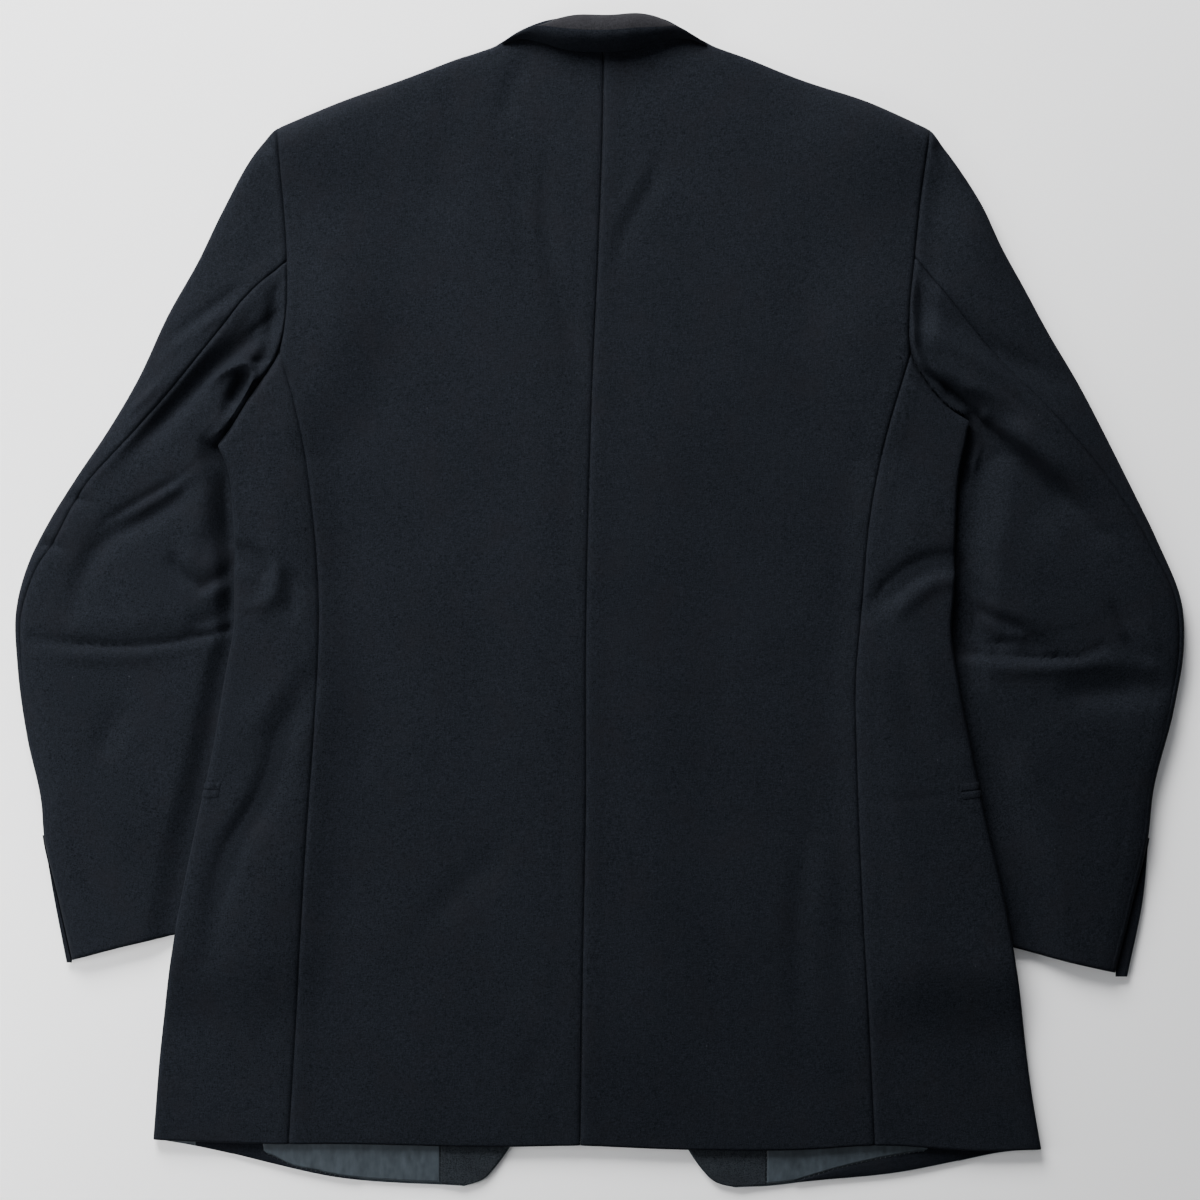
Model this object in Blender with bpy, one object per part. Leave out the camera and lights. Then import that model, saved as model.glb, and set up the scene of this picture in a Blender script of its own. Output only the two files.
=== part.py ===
"""A single-breasted suit jacket that lies flat on its front, back up.

Metres, +Z up. The jacket stands on z = 0 with its collar towards +Y and its hem towards -Y, and the
wearer's left is at -X. Each piece that is cut and sewn is a wall of cloth in an object of its own.
The sleeves lie on the ground beside the body, and the body's side folds lie over their inner edges.
Tables give plan places in millimetres, as (x, y) from the middle of the jacket.
"""
import math

import bpy
import numpy as np

MM = 0.001

# Walls and seams, in millimetres
CLOTH = 2.0
GAP = 0.4
ARMHOLE_GAP = 0.8
LAPEL_WALL = 1.5
TRIM_WALL = 1.2
JET_WALL = 1.0
LIFT = 0.3

# Heights, in millimetres
SLEEVE_FLAT = 6.8
SLEEVE_LIFT = 7.4
BODY_DEPTH = 7.5
EDGE_DEPTH = 4.6
FOLD_RADIUS = 3.8
PAD_HEIGHT = 8.0
PAD_REACH = (62.0, 52.0)
CENTRE_RISE = 2.6
LAPEL_RISE = LAPEL_WALL + LIFT
BUTTON_WALL = 2.3
BUTTON_RADIUS = 10.0
BUTTON_RISE = BUTTON_WALL + 0.4
BUTTON_PLACES = (20.0, -90.0)
CREST_HEIGHT = 24.0
POCKET_Y = -134.5
POCKET_BAND = (8.0, 20.0)
POCKET_RISE = JET_WALL + LIFT
POCKET_END = 128.0
JET_GAP = 0.8
JET_WIDTH = 5.0
JET_START = 4
JET_FRONT = 4

# Where the body is raised over the sleeve's inner edge: the least depth of the tuck, and the ramps of the
# rise inwards from it, down from the side seam's top, and up from the cuff
TUCK_LEAST = 20.0
TUCK_INWARDS = (12.0, 48.0)
TUCK_BELOW_TOP = (24.0, 66.0)
TUCK_ABOVE_CUFF = (-70.0, -8.0)

# Ramps and rounded edges of the body's upper side
CENTRE_HALF = (30.0, 90.0)
CENTRE_FROM = (90.0, 200.0)
CENTRE_TO = (-400.0, -300.0)
SHOULDER_ROUND = 16.0
ARMHOLE_ROUND = 7.0
ARMHOLE_LOW = (-0.12, 0.05)
PAD_SHARE = 0.86
PAD_DOWN = 8.0
PAD_HOLLOW = 0.75

# Ramps of the fronts' rises over the lapels, the buttons and each other
LAPEL_INWARDS = (-48.0, -26.0)
LAPEL_END = (-40.0, -16.0)
LAPEL_SHOULDER = (1.0, 9.0)
BUTTON_AROUND = (4.0, 22.0)
BUTTON_BELOW = (-36.0, -14.0)
BUTTON_ABOVE = (42.0, 110.0)
OVERLAP_ACROSS = (14.0, 38.0)
OVERLAP_TOP = (140.0, 200.0)

# The lapels and the collar's ends on the fronts
GORGE_Y = 334.0
EDGE_INSET = 2.0
NOTCH = (22.0, 10.0)
LEAF_ABOVE = 8.0
LEAF_CLEAR = 3.0

# The collar's base and its fall's edge, from the collar's ends to the middle
COLLAR_LOW = (2.6, 3.8)
COLLAR_ENDS = 9.5
COLLAR_SWELL = 0.45
COLLAR_REST = 1.1
STAND_TURNS = (0, 30, 60, 90)
FALL_TURNS = (0, 28, 52, 74)

# The fronts' insides, which show below the back's hem
INSIDE_TOP = -352.0
HEM_INSET = 1.2
TURN_UP_INSET = 0.6
TURN_UP_LEAST = 0.9
UNDERLAP_WALL = 1.6

# Colours: wool, wool in the shade of a fold or seam, lining and buttons
WOOL = (0.012, 0.015, 0.022)
WOOL_DARK = (0.008, 0.010, 0.016)
SATIN = (0.030, 0.040, 0.056)
HORN = (0.010, 0.010, 0.012)
WOOL_ROUGHNESS = 0.85
SATIN_ROUGHNESS = 0.45
HORN_ROUGHNESS = 0.35

# Heights of the rows of the back's middle, of the armhole, of the side seam, and of the body below it,
# which are closer by the pocket
CENTRE_ROWS = (397, 366, 334, 302, 268, 234, 198, 162, 126, 93)
ARMHOLE_ROWS = (304, 270, 240, 220, 206, 192)
SEAM_ROWS = (150, 122, 92)
BODY_ROWS = (60, 28, -4, -36, -66, -94, -114.5, -126.5, -142.5, -154.5, -180, -208, -236, -264, -292, -320,
             -350)
FRONT_ROWS = (372, 346, 318, 290, 260, 230, 200, 170, 142, 115, 88, 60, 28, -4, -36, -66, -94, -114.5, -126.5,
              -142.5, -154.5, -180, -208, -240, -272, -305, -342, -382)

# Shares across the panels
BACK_SHARES = (0, 0.05, 0.13, 0.22, 0.31, 0.4, 0.49, 0.58, 0.67, 0.76, 0.85, 0.94, 1.0)
SIDE_SHARES = (0, 0.22, 0.44, 0.66, 0.84, 0.93, 1.0)
UNDER_SHARES = (0, 0.1, 0.3, 0.65, 1.0)
FRONT_SHARES = (0, 0.05, 0.12, 0.2, 0.3, 0.42, 0.55, 0.68, 0.82, 0.92, 1.0)

# Angles round a fold, from the upper layer to the lower one
FOLD_ANGLES = np.radians([62, 30, 0, -30, -62])

# The centre back seam, and the collar behind the neck: its base, its crest and its fall's edge
CENTRE_BACK = ((3, 416), (2, 337), (-1, 251), (-5, 165), (-8, 71), (-10, -36), (-10, -144), (-12, -251),
               (-14, -389))
COLLAR_BASE = ((-70, 402), (-63, 407), (-50, 413), (-37, 417), (-22, 418.5), (7, 419), (35, 420),
               (46, 417.5), (58, 411.5), (75, 402))
COLLAR_CREST = ((-68, 398.5), (-58, 401.5), (-46, 405), (-33, 406.5), (-20, 407), (5, 407), (32, 409),
                (44, 408.5), (55, 405), (73, 398.5))
COLLAR_EDGE = ((-66, 395), (-55, 395.5), (-43, 395), (-31, 393), (-19, 391), (5, 391), (30, 393.5),
               (43, 395.5), (54, 396.5), (71, 395))

# Plan curves of each side, from the top down. Names ending in _out are silhouettes.
LEFT = {
    "neck": ((3, 416), (-22, 415.8), (-37, 414), (-48, 410.5), (-61, 404.2), (-68, 399.5), (-74, 396)),
    "shoulder": ((-74, 396), (-103, 386), (-137, 373), (-187, 355), (-230, 337)),
    "armhole": ((-230, 337), (-227, 301), (-223, 243), (-223, 205), (-228, 177), (-249, 145), (-264, 121),
                (-272, 110)),
    "side_seam": ((-228, 177), (-221, 155), (-213, 122), (-206, 75), (-200, -8), (-203, -89), (-209, -172),
                  (-215, -273), (-222, -388)),
    "side_out": ((-272, 110), (-265, 94), (-261, 62), (-260, 4), (-260, -15), (-266, -51), (-276, -110),
                 (-287, -160), (-302, -235), (-313, -312), (-319, -385)),
    "front_seam": ((-249, 145), (-226, 90), (-208, 20), (-210, -60), (-222, -134), (-240, -230), (-254, -320),
                   (-262, -396)),
    "front_edge": ((-74, 396), (-51, 330), (-24, 220), (0, 118), (17, 40), (18, 0), (18, -120), (9, -200),
                   (-20, -300), (-50, -365), (-63, -389), (-72, -402), (-83, -414), (-97, -419)),
    "hem": ((-14, -389), (-63, -390), (-193, -388), (-222, -388), (-295, -386), (-319, -385)),
    "side_hem": ((-319, -385), (-290, -390), (-262, -396)),
    "front_hem": ((-262, -396), (-238, -402), (-187, -413), (-140, -417), (-114, -418), (-97, -419)),
    "sleeve_out": ((-230, 337), (-243, 323), (-270, 276), (-286, 243), (-308, 204), (-330, 157), (-353, 118),
                   (-372, 90), (-395, 53), (-407, 29), (-417, -8), (-416, -46), (-409, -98), (-399, -144),
                   (-397, -169), (-388, -208), (-377, -257)),
    "sleeve_in": ((-272, 110), (-262, 88), (-255, 62), (-243, 22), (-232, -15), (-227, -60), (-230, -140),
                  (-246, -225)),
    "cuff": ((-377, -257), (-339, -247), (-304, -239), (-246, -225)),
    "elbow_seam": ((-223, 241), (-249, 218), (-272, 189), (-303, 151), (-332, 118), (-367, 80), (-390, 39),
                   (-413, 7)),
    "underlap_out": ((-397.6, -168), (-390.5, -210), (-381, -259)),
    "lapel_out": ((-124, 280), (-98, 222), (-55, 150), (-15, 90), (10, 44)),
    "leaf_out": ((-109, 352), (-112, 330), (-107, 300)),
    "lining": (-241, -114),
    "turn_up": ((-289, -388), (-234, -397), (-222, -403), (-201, -408), (-172, -414)),
}
RIGHT = {
    "neck": ((3, 416), (35, 417), (46, 414.6), (57, 409), (73, 399.5), (80, 396)),
    "shoulder": ((80, 396), (102, 388), (142, 372), (193, 355), (235, 336)),
    "armhole": ((235, 336), (229, 291), (224, 243), (220, 205), (221, 176), (234, 152), (249, 136),
                (263, 127)),
    "side_seam": ((221, 176), (203, 114), (192, 57), (187, 0), (182, -58), (183, -115), (187, -215),
                  (193, -323), (196, -389)),
    "side_out": ((263, 127), (260, 111), (256, 92), (253, 50), (252, 4), (250, -19), (255, -58), (264, -105),
                 (273, -150), (287, -210), (298, -273), (309, -357), (315, -392)),
    "front_seam": ((234, 152), (214, 90), (200, 20), (200, -60), (215, -134), (232, -230), (246, -320),
                   (256, -401)),
    "front_edge": ((80, 396), (54, 330), (26, 220), (1, 118), (-17, 40), (-18, 0), (-18, -120), (-9, -200),
                   (20, -300), (50, -368), (63, -393), (71, -405), (82, -416), (97, -420)),
    "hem": ((-14, -389), (61, -392), (146, -392), (196, -389), (274, -393), (315, -392)),
    "side_hem": ((315, -392), (285, -395), (256, -401)),
    "front_hem": ((256, -401), (215, -409), (146, -416), (120, -419), (97, -420)),
    "sleeve_out": ((235, 336), (254, 311), (273, 281), (286, 253), (302, 224), (321, 189), (340, 157),
                   (365, 109), (381, 77), (398, 42), (416, -6), (417, -30), (410, -77), (395, -137),
                   (391, -172), (382, -210), (368, -266)),
    "sleeve_in": ((263, 127), (254, 98), (248, 62), (237, 22), (227, -15), (222, -60), (227, -140),
                  (237, -233)),
    "cuff": ((368, -266), (329, -257), (295, -248), (237, -233)),
    "elbow_seam": ((224, 244), (250, 212), (283, 172), (327, 126), (365, 81), (397, 28), (414, -24)),
    "underlap_out": ((391.8, -170), (388, -212), (376.5, -269)),
    "lapel_out": ((126, 280), (100, 222), (60, 160), (34, 132), (14, 124)),
    "leaf_out": ((112, 352), (115, 330), (110, 300)),
    "lining": (235, 119),
    "turn_up": ((290, -392), (235, -393), (203, -398), (169, -406), (139, -415)),
}

# The largest folds of the cloth: places along each, height in millimetres (a trough is negative), and width
SLEEVE_FOLDS = {
    "left": (
        (((-232, 205), (-257, 185), (-284, 160), (-314, 134), (-344, 106)), -4.5, 13),
        (((-240, 172), (-257, 167), (-271, 157), (-286, 139)), 4.5, 9),
        (((-312, 58), (-345, 25), (-375, -8)), -3.0, 20),
        (((-290, 100), (-328, 70), (-367, 39)), -2.5, 12),
        (((-405, -34), (-370, -33), (-328, -33), (-285, -25)), -4.0, 11),
        (((-398, -55), (-340, -56), (-290, -48)), 3.0, 16),
    ),
    "right": (
        (((267, 136), (294, 110), (321, 89), (349, 67), (365, 42)), -4.5, 12),
        (((245, 190), (290, 150), (345, 105)), 2.0, 22),
        (((256, -40), (310, -42), (340, -41), (376, -34)), -4.0, 11),
        (((262, -60), (320, -64), (385, -58)), 3.0, 16),
        (((373, -4), (384, -29), (397, -43)), -2.5, 11),
    ),
}
BODY_FOLDS = (
    (((-38, 290), (-35, 248), (-12, 172)), -1.2, 26),
    (((42, 296), (30, 250), (18, 215)), -1.2, 24),
    (((-213, -71), (-243, -122), (-262, -172), (-272, -225)), -2.2, 17),
    (((246, 20), (215, 10), (195, -13)), -2.0, 15),
    (((-232, 30), (-240, 8), (-245, -20)), -1.8, 14),
    (((168, -162), (140, -205), (119, -245)), -1.0, 30),
)


class Path:
    """A smooth plan curve through a short table of places, measured along its length."""

    STEPS = 16

    def __init__(self, places):
        p = np.array(places, float)
        knots = np.concatenate([[0], np.cumsum(np.linalg.norm(np.diff(p, axis=0), axis=1))])
        slopes = np.gradient(p, knots, axis=0) if len(p) > 2 else np.repeat((p[1:] - p[:1]) / knots[1], 2, 0)
        out = [p[:1]]
        for k in range(len(p) - 1):
            h = knots[k + 1] - knots[k]
            t = np.linspace(0, 1, self.STEPS + 1)[1:, None]
            out.append((2 * t**3 - 3 * t**2 + 1) * p[k] + (t**3 - 2 * t**2 + t) * h * slopes[k]
                       + (3 * t**2 - 2 * t**3) * p[k + 1] + (t**3 - t**2) * h * slopes[k + 1])
        self.p = np.vstack(out)
        length = np.concatenate([[0], np.cumsum(np.linalg.norm(np.diff(self.p, axis=0), axis=1))])
        self.s = length / length[-1]

    def at(self, s):
        """Places at shares s of the length."""
        return np.stack([np.interp(s, self.s, self.p[:, k]) for k in (0, 1)], axis=-1)

    def x_at(self, y):
        """The curve's x at each y, for a curve that only runs down."""
        return np.interp(-np.asarray(y, float), -self.p[:, 1], self.p[:, 0])

    def share_of(self, place):
        """How far along the curve a place is, as a share of the length."""
        return self.s[np.argmin(np.hypot(*(self.p - np.array(place, float)).T))]

    def share_at_y(self, y):
        """The share of the length at each height y, for a curve that only runs down."""
        return np.interp(-np.asarray(y, float), -self.p[:, 1], self.s)

    def nearest(self, x, y):
        """Distance, share of the length and side of each place; the side is + on the curve's left hand."""
        d2 = (x[..., None] - self.p[:, 0]) ** 2 + (y[..., None] - self.p[:, 1]) ** 2
        k = np.argmin(d2, axis=-1)
        run = np.gradient(self.p, axis=0)[k]
        side = np.sign(run[..., 0] * (y - self.p[k, 1]) - run[..., 1] * (x - self.p[k, 0]))
        return np.sqrt(np.take_along_axis(d2, k[..., None], -1)[..., 0]), self.s[k], side

    def moved(self, distance):
        """The curve moved sideways, + to its right hand."""
        run = np.gradient(self.p, axis=0)
        run /= np.linalg.norm(run, axis=1)[:, None]
        other = Path.__new__(Path)
        other.p = self.p + distance * np.stack([run[:, 1], -run[:, 0]], axis=1)
        other.s = self.s
        return other


def ramp(value, low, high):
    """A smooth step from 0 at low to 1 at high."""
    t = np.clip((np.asarray(value, float) - low) / (high - low), 0, 1)
    return t * t * (3 - 2 * t)


def rounded(share):
    """The height of a quarter circle at a share of its width."""
    return np.sqrt(1 - (1 - np.clip(share, 0, 1)) ** 2)


def folds_height(table, x, y):
    """The summed height of a table's folds at each place."""
    total = np.zeros(np.shape(x))
    for places, height, width in table:
        away, share, _ = Path(places).nearest(x, y)
        total += height * np.exp(-((away / width) ** 2)) * (0.25 + 0.75 * np.sin(np.pi * share))
    return total


class Side:
    """The curves of one side of the jacket, and the heights that its pieces share."""

    def __init__(self, name, table, sign):
        self.name = name
        self.sign = sign
        self.table = table
        self.path = {key: Path(value) for key, value in table.items() if key != "lining"}
        self.border = Path(table["armhole"] + table["side_out"][1:])
        self.seam_top = table["side_seam"][0]
        self.front_seam_top = table["front_seam"][0]
        self.underarm = table["side_out"][0]
        self.shoulder_line = Path(table["neck"] + table["shoulder"][1:])

    def outside(self, x, y):
        """Distance beyond the body's armhole and side fold, negative inside the body."""
        away, _, hand = self.border.nearest(x, y)
        return self.sign * hand * away

    def sleeve_lift(self, x, y):
        """How far the body is raised where the sleeve's inner edge lies under it."""
        tuck = np.abs(self.path["side_out"].x_at(y) - self.path["sleeve_in"].x_at(y))
        depth = np.where(y > self.underarm[1], TUCK_LEAST, np.maximum(tuck, TUCK_LEAST))
        over = 1 - ramp(-self.outside(x, y) - depth, *TUCK_INWARDS)
        below = 1 - ramp(y - self.seam_top[1], *TUCK_BELOW_TOP)
        above = ramp(y - self.table["cuff"][2][1], *TUCK_ABOVE_CUFF)
        own_side = np.where(self.sign * x > 60, 1.0, 0.0)
        return SLEEVE_LIFT * over * below * above * own_side

    def pocket_rise(self, x, y):
        """The room under the body for the pocket's jets."""
        across = 1 - ramp(np.abs(y - POCKET_Y), *POCKET_BAND)
        return POCKET_RISE * across * ramp(self.sign * x, POCKET_END - 22, POCKET_END - 6)


def pad_height(side, x, y):
    """The shoulder pad's swell over the sleeve head end of the shoulder."""
    px, py = side.path["shoulder"].at(PAD_SHARE)
    away = ((x - px) / PAD_REACH[0]) ** 2 + ((y - py + PAD_DOWN) / PAD_REACH[1]) ** 2
    return PAD_HEIGHT * np.exp(-away)


def body_base(x, y):
    """The lower outside of the body, without what the fronts lie on."""
    return sum(side.sleeve_lift(x, y) + side.pocket_rise(x, y) for side in SIDES)


def body_top(x, y):
    """The upper outside of the body."""
    base = sum(side.sleeve_lift(x, y) for side in SIDES)
    depth = BODY_DEPTH + folds_height(BODY_FOLDS, x, y)
    centre = (1 - ramp(np.abs(x), *CENTRE_HALF)) * (1 - ramp(y, *CENTRE_FROM)) * ramp(y, *CENTRE_TO)
    depth = depth + CENTRE_RISE * centre + sum(pad_height(side, x, y) for side in SIDES)
    for side in SIDES:
        away, _, _ = side.shoulder_line.nearest(x, y)
        own_half = side.sign * (x - CENTRE_BACK[0][0]) >= 0
        depth = EDGE_DEPTH + (depth - EDGE_DEPTH) * np.where(own_half, rounded(away / SHOULDER_ROUND), 1.0)
        armhole = side.path["armhole"]
        away, share, _ = armhole.nearest(x, y)
        low = ramp(share - armhole.share_of(side.seam_top), *ARMHOLE_LOW)
        low = low * np.where(y > side.underarm[1] - 4, 1.0, 0.0)
        depth = depth - low * (depth - EDGE_DEPTH - GAP) * (1 - rounded(away / ARMHOLE_ROUND))
    return base + np.maximum(depth, EDGE_DEPTH)


def lapel_rise(side, x, y):
    """The front's rise over its own lapel and collar end."""
    rim = Path(side.table["leaf_out"][:2] + side.table["lapel_out"])
    away, _, hand = rim.nearest(x, y)
    inside = away * hand * -side.sign
    above = y - side.table["lapel_out"][-1][1]
    clear, _, _ = side.path["shoulder"].nearest(x, y)
    return LAPEL_RISE * ramp(inside, *LAPEL_INWARDS) * ramp(above, *LAPEL_END) * ramp(clear, *LAPEL_SHOULDER)


def front_rise_left(x, y):
    """The left front's rise over its lapel and buttons."""
    near = 1 - ramp(np.abs(x) - BUTTON_RADIUS, *BUTTON_AROUND)
    strip = near * ramp(y - BUTTON_PLACES[1], *BUTTON_BELOW) * (1 - ramp(y, *BUTTON_ABOVE))
    return np.maximum(lapel_rise(SIDES[0], x, y), BUTTON_RISE * strip)


def front_rise_right(x, y):
    """The right front's rise over its lapel and over the left front's edge."""
    edge = SIDES[0].path["front_edge"]
    over = (1 - ramp(x - edge.x_at(y), *OVERLAP_ACROSS)) * (1 - ramp(y, *OVERLAP_TOP))
    under = front_rise_left(np.minimum(x, edge.x_at(y) + EDGE_INSET), y)
    return np.maximum(lapel_rise(SIDES[1], x, y), (under + CLOTH + LIFT) * over)


def coons(top, bottom, left, right, u=None, v=None):
    """Plan places of a patch between four edges; left and right run down, top and bottom run across."""
    u = np.linspace(0, 1, len(top)) if u is None else u
    v = np.linspace(0, 1, len(left)) if v is None else v
    u, v = u[None, :, None], v[:, None, None]
    across = (1 - u) * left[:, None] + u * right[:, None]
    down = (1 - v) * top[None] + v * bottom[None]
    corner = ((1 - u) * (1 - v) * top[0] + u * (1 - v) * top[-1] + (1 - u) * v * bottom[0]
              + u * v * bottom[-1])
    return across + down - corner


def wall(name, outer, inner, colour, roughness=WOOL_ROUGHNESS):
    """A closed wall from two grids of places: its outside and its inside, in millimetres.

    Each grid is rows by columns by 3. A row may be shorter than its neighbours: its missing places at
    the start are nan, and the rows are joined by the nearest places.
    """
    rows = [np.flatnonzero(~np.isnan(row[:, 0])) for row in outer]
    index, count = {}, 0
    for r, columns in enumerate(rows):
        for c in columns:
            index[r, c] = count
            count += 1
    points = np.array([outer[key] for key in index] + [inner[key] for key in index]) * MM
    faces = []
    for r in range(len(rows) - 1):
        first = max(rows[r][0], rows[r + 1][0])
        for c in range(first, outer.shape[1] - 1):
            a, b, d, e = (r, c), (r, c + 1), (r + 1, c + 1), (r + 1, c)
            one, two = outer[a] - outer[d], outer[b] - outer[e]
            if np.dot(one, one) <= np.dot(two, two):
                faces += [(index[a], index[b], index[d]), (index[a], index[d], index[e])]
            else:
                faces += [(index[a], index[b], index[e]), (index[b], index[d], index[e])]
        for c in range(rows[r][0], first):
            faces.append((index[r, c], index[r, c + 1], index[r + 1, first]))
        for c in range(rows[r + 1][0], first):
            faces.append((index[r, first], index[r + 1, c + 1], index[r + 1, c]))
    edges = {(face[k], face[(k + 1) % 3]) for face in faces for k in range(3)}
    rim = [(b, a, a + count, b + count) for a, b in sorted(edges) if (b, a) not in edges]
    faces += [tuple(k + count for k in reversed(face)) for face in faces] + rim
    volume = sum(np.dot(points[f[0]], np.cross(points[f[k]], points[f[k + 1]]))
                 for f in faces for k in range(1, len(f) - 1))
    if volume < 0:
        faces = [tuple(reversed(face)) for face in faces]
    mesh = bpy.data.meshes.new(name)
    mesh.from_pydata(points.tolist(), [], faces)
    mesh.shade_smooth()
    mesh.set_sharp_from_angle(angle=math.radians(50))
    return placed(name, mesh, colour, roughness)


def placed(name, mesh, colour, roughness):
    """An object of the mesh with its own material, linked to the scene."""
    mesh.validate()
    material = bpy.data.materials.new(name)
    material.use_nodes = True
    shader = material.node_tree.nodes["Principled BSDF"]
    shader.inputs["Base Color"].default_value = (*colour, 1.0)
    shader.inputs["Roughness"].default_value = roughness
    shader.inputs["Metallic"].default_value = 0.0
    mesh.materials.append(material)
    made = bpy.data.objects.new(name, mesh)
    bpy.context.scene.collection.objects.link(made)
    return made


SIDES = (Side("left", LEFT, -1), Side("right", RIGHT, 1))


def stacked(plan, height):
    """A plan grid with heights."""
    return np.concatenate([plan, np.broadcast_to(height, plan.shape[:2])[..., None]], axis=-1)


def raised(grid, distance):
    """A grid moved straight up."""
    return grid + np.array([0, 0, distance])


def row_heights(top, upper, low):
    """Row heights of one edge: its top, its upper rows, the rows that all panels share, and its end."""
    return np.array([top, *upper, *BODY_ROWS, low], float)


def between(top):
    """Row heights between the top of an edge and the first shared row."""
    return tuple(np.linspace(top, BODY_ROWS[0], len(SEAM_ROWS) + 2)[1:-1])


def joined_edge(side, seam, rows):
    """Places down the armhole and then down the seam that starts on it, at the row heights."""
    armhole = side.path["armhole"].moved(side.sign * GAP / 2)
    upper = armhole.at(armhole.share_at_y(rows))
    return np.where(rows[:, None] > seam.p[0][1] + 1, upper, seam.at(seam.share_at_y(rows)))


def build_back(side):
    """One half of the back, from the centre back seam to the armhole and the side seam."""
    middle = Path(CENTRE_BACK).moved(-side.sign * GAP / 2)
    centre_rows = row_heights(CENTRE_BACK[0][1], CENTRE_ROWS, CENTRE_BACK[-1][1])
    seam = side.path["side_seam"].moved(side.sign * GAP / 2)
    edge_top = LEFT["armhole"][0][1]
    edge_rows = row_heights(edge_top, (*ARMHOLE_ROWS, side.seam_top[1], *SEAM_ROWS), seam.p[-1][1])
    u = np.array(BACK_SHARES)
    top = Path(side.table["neck"] + side.table["shoulder"][1:]).moved(side.sign * GAP / 2)
    hem = side.path["hem"]
    seam_share = hem.share_of(side.table["side_seam"][-1])
    left = middle.at(middle.share_at_y(centre_rows))
    right = joined_edge(side, seam, edge_rows)
    across_top, across_hem = top.at(u), hem.at(u * seam_share)
    across_top[0], across_top[-1] = left[0], right[0]
    across_hem[0], across_hem[-1] = left[-1], right[-1]
    v = (centre_rows[0] - centre_rows) / (centre_rows[0] - centre_rows[-1])
    plan = coons(across_top, across_hem, left, right, u, v)
    height = body_top(plan[..., 0], plan[..., 1])
    outer = stacked(plan, height)
    pad = PAD_HOLLOW * pad_height(side, plan[..., 0], plan[..., 1])
    low = body_base(plan[..., 0], plan[..., 1]) + CLOTH + LIFT
    inner = stacked(plan, np.minimum(height - CLOTH, np.maximum(height - CLOTH - pad, low)))
    wall(f"back_{side.name}", outer, inner, WOOL)


def loop_row(upper, lower, radius):
    """One row round a fold: plan places, shares of the height, ways out in plan, and angles.

    The row runs from the upper layer to the lower one. upper's places run towards the fold and lower's
    away from it, and they share the fold's own place.
    """
    tip = upper[-1]
    way_in = upper[-2] - tip
    way_in /= np.linalg.norm(way_in)
    way_back = lower[1] - lower[0]
    way_back /= np.linalg.norm(way_back)
    plan, out, angle = [], [], []
    for place in upper[:-1]:
        plan.append(place)
        angle.append(math.pi / 2)
        out.append(-way_in)
    for turn in FOLD_ANGLES:
        way = way_in if turn >= 0 else way_back
        plan.append(tip + way * radius * (1 - math.cos(turn)))
        angle.append(turn)
        out.append(-way)
    for place in lower[1:]:
        plan.append(place)
        angle.append(-math.pi / 2)
        out.append(-way_back)
    share = 0.5 + 0.5 * np.sin(angle)
    return np.array(plan), share, np.array(out), np.array(angle)


def folded(rows, base_of, top_of, thickness=CLOTH, lift=0.0):
    """Outer and inner grids of rows that turn round a fold, moved out by lift."""
    outer, inner = [], []
    for plan, share, out, angle in rows:
        x, y = plan[:, 0], plan[:, 1]
        low, high = base_of(x, y), top_of(x, y)
        place = np.column_stack([plan, low + (high - low) * share])
        normal = np.column_stack([np.cos(angle)[:, None] * out, np.sin(angle)])
        outer.append(place + normal * lift)
        inner.append(place + normal * (lift - thickness))
    return np.array(outer), np.array(inner)


def build_side_body(side):
    """A side body: from the back side seam over the side fold to the front seam underneath.

    It gives back its outer grid, and the ways out of the cloth there.
    """
    seam = side.path["side_seam"].moved(-side.sign * GAP / 2)
    fold = side.path["side_out"]
    front = side.path["front_seam"].moved(-side.sign * GAP / 2)
    armhole = side.path["armhole"].moved(side.sign * GAP / 2)
    seam_rows = row_heights(seam.p[0][1], SEAM_ROWS, seam.p[-1][1])
    fold_rows = row_heights(side.underarm[1], between(side.underarm[1]), fold.p[-1][1])
    front_rows = row_heights(front.p[0][1], between(side.front_seam_top[1]), front.p[-1][1])
    left = seam.at(seam.share_at_y(seam_rows))
    middle = fold.at(fold.share_at_y(fold_rows))
    right = front.at(front.share_at_y(front_rows))
    v = (seam_rows[0] - seam_rows) / (seam_rows[0] - seam_rows[-1])
    start = side.path["armhole"].share_of(side.seam_top)
    meet = side.path["armhole"].share_of(side.front_seam_top)
    u = np.array(SIDE_SHARES)
    top = armhole.at(start + (1 - start) * u)
    top[0], top[-1] = left[0], middle[0]
    hem = side.path["hem"]
    at = hem.share_of(side.table["side_seam"][-1])
    low = hem.at(at + (1 - at) * u)
    low[0], low[-1] = left[-1], middle[-1]
    upper = coons(top, low, left, middle, u, v)
    w = np.array(UNDER_SHARES)
    under_top = armhole.at(1 - (1 - meet) * w)
    under_top[0], under_top[-1] = middle[0], right[0]
    under_low = side.path["side_hem"].at(w)
    under_low[0], under_low[-1] = middle[-1], right[-1]
    lower = coons(under_top, under_low, middle, right, w, v)
    rows = [loop_row(a, b, FOLD_RADIUS) for a, b in zip(upper, lower)]
    outer, inner = folded(rows, body_base, body_top)
    wall(f"side_body_{side.name}", outer, inner, WOOL)
    return outer, (outer - inner) / CLOTH


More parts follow.
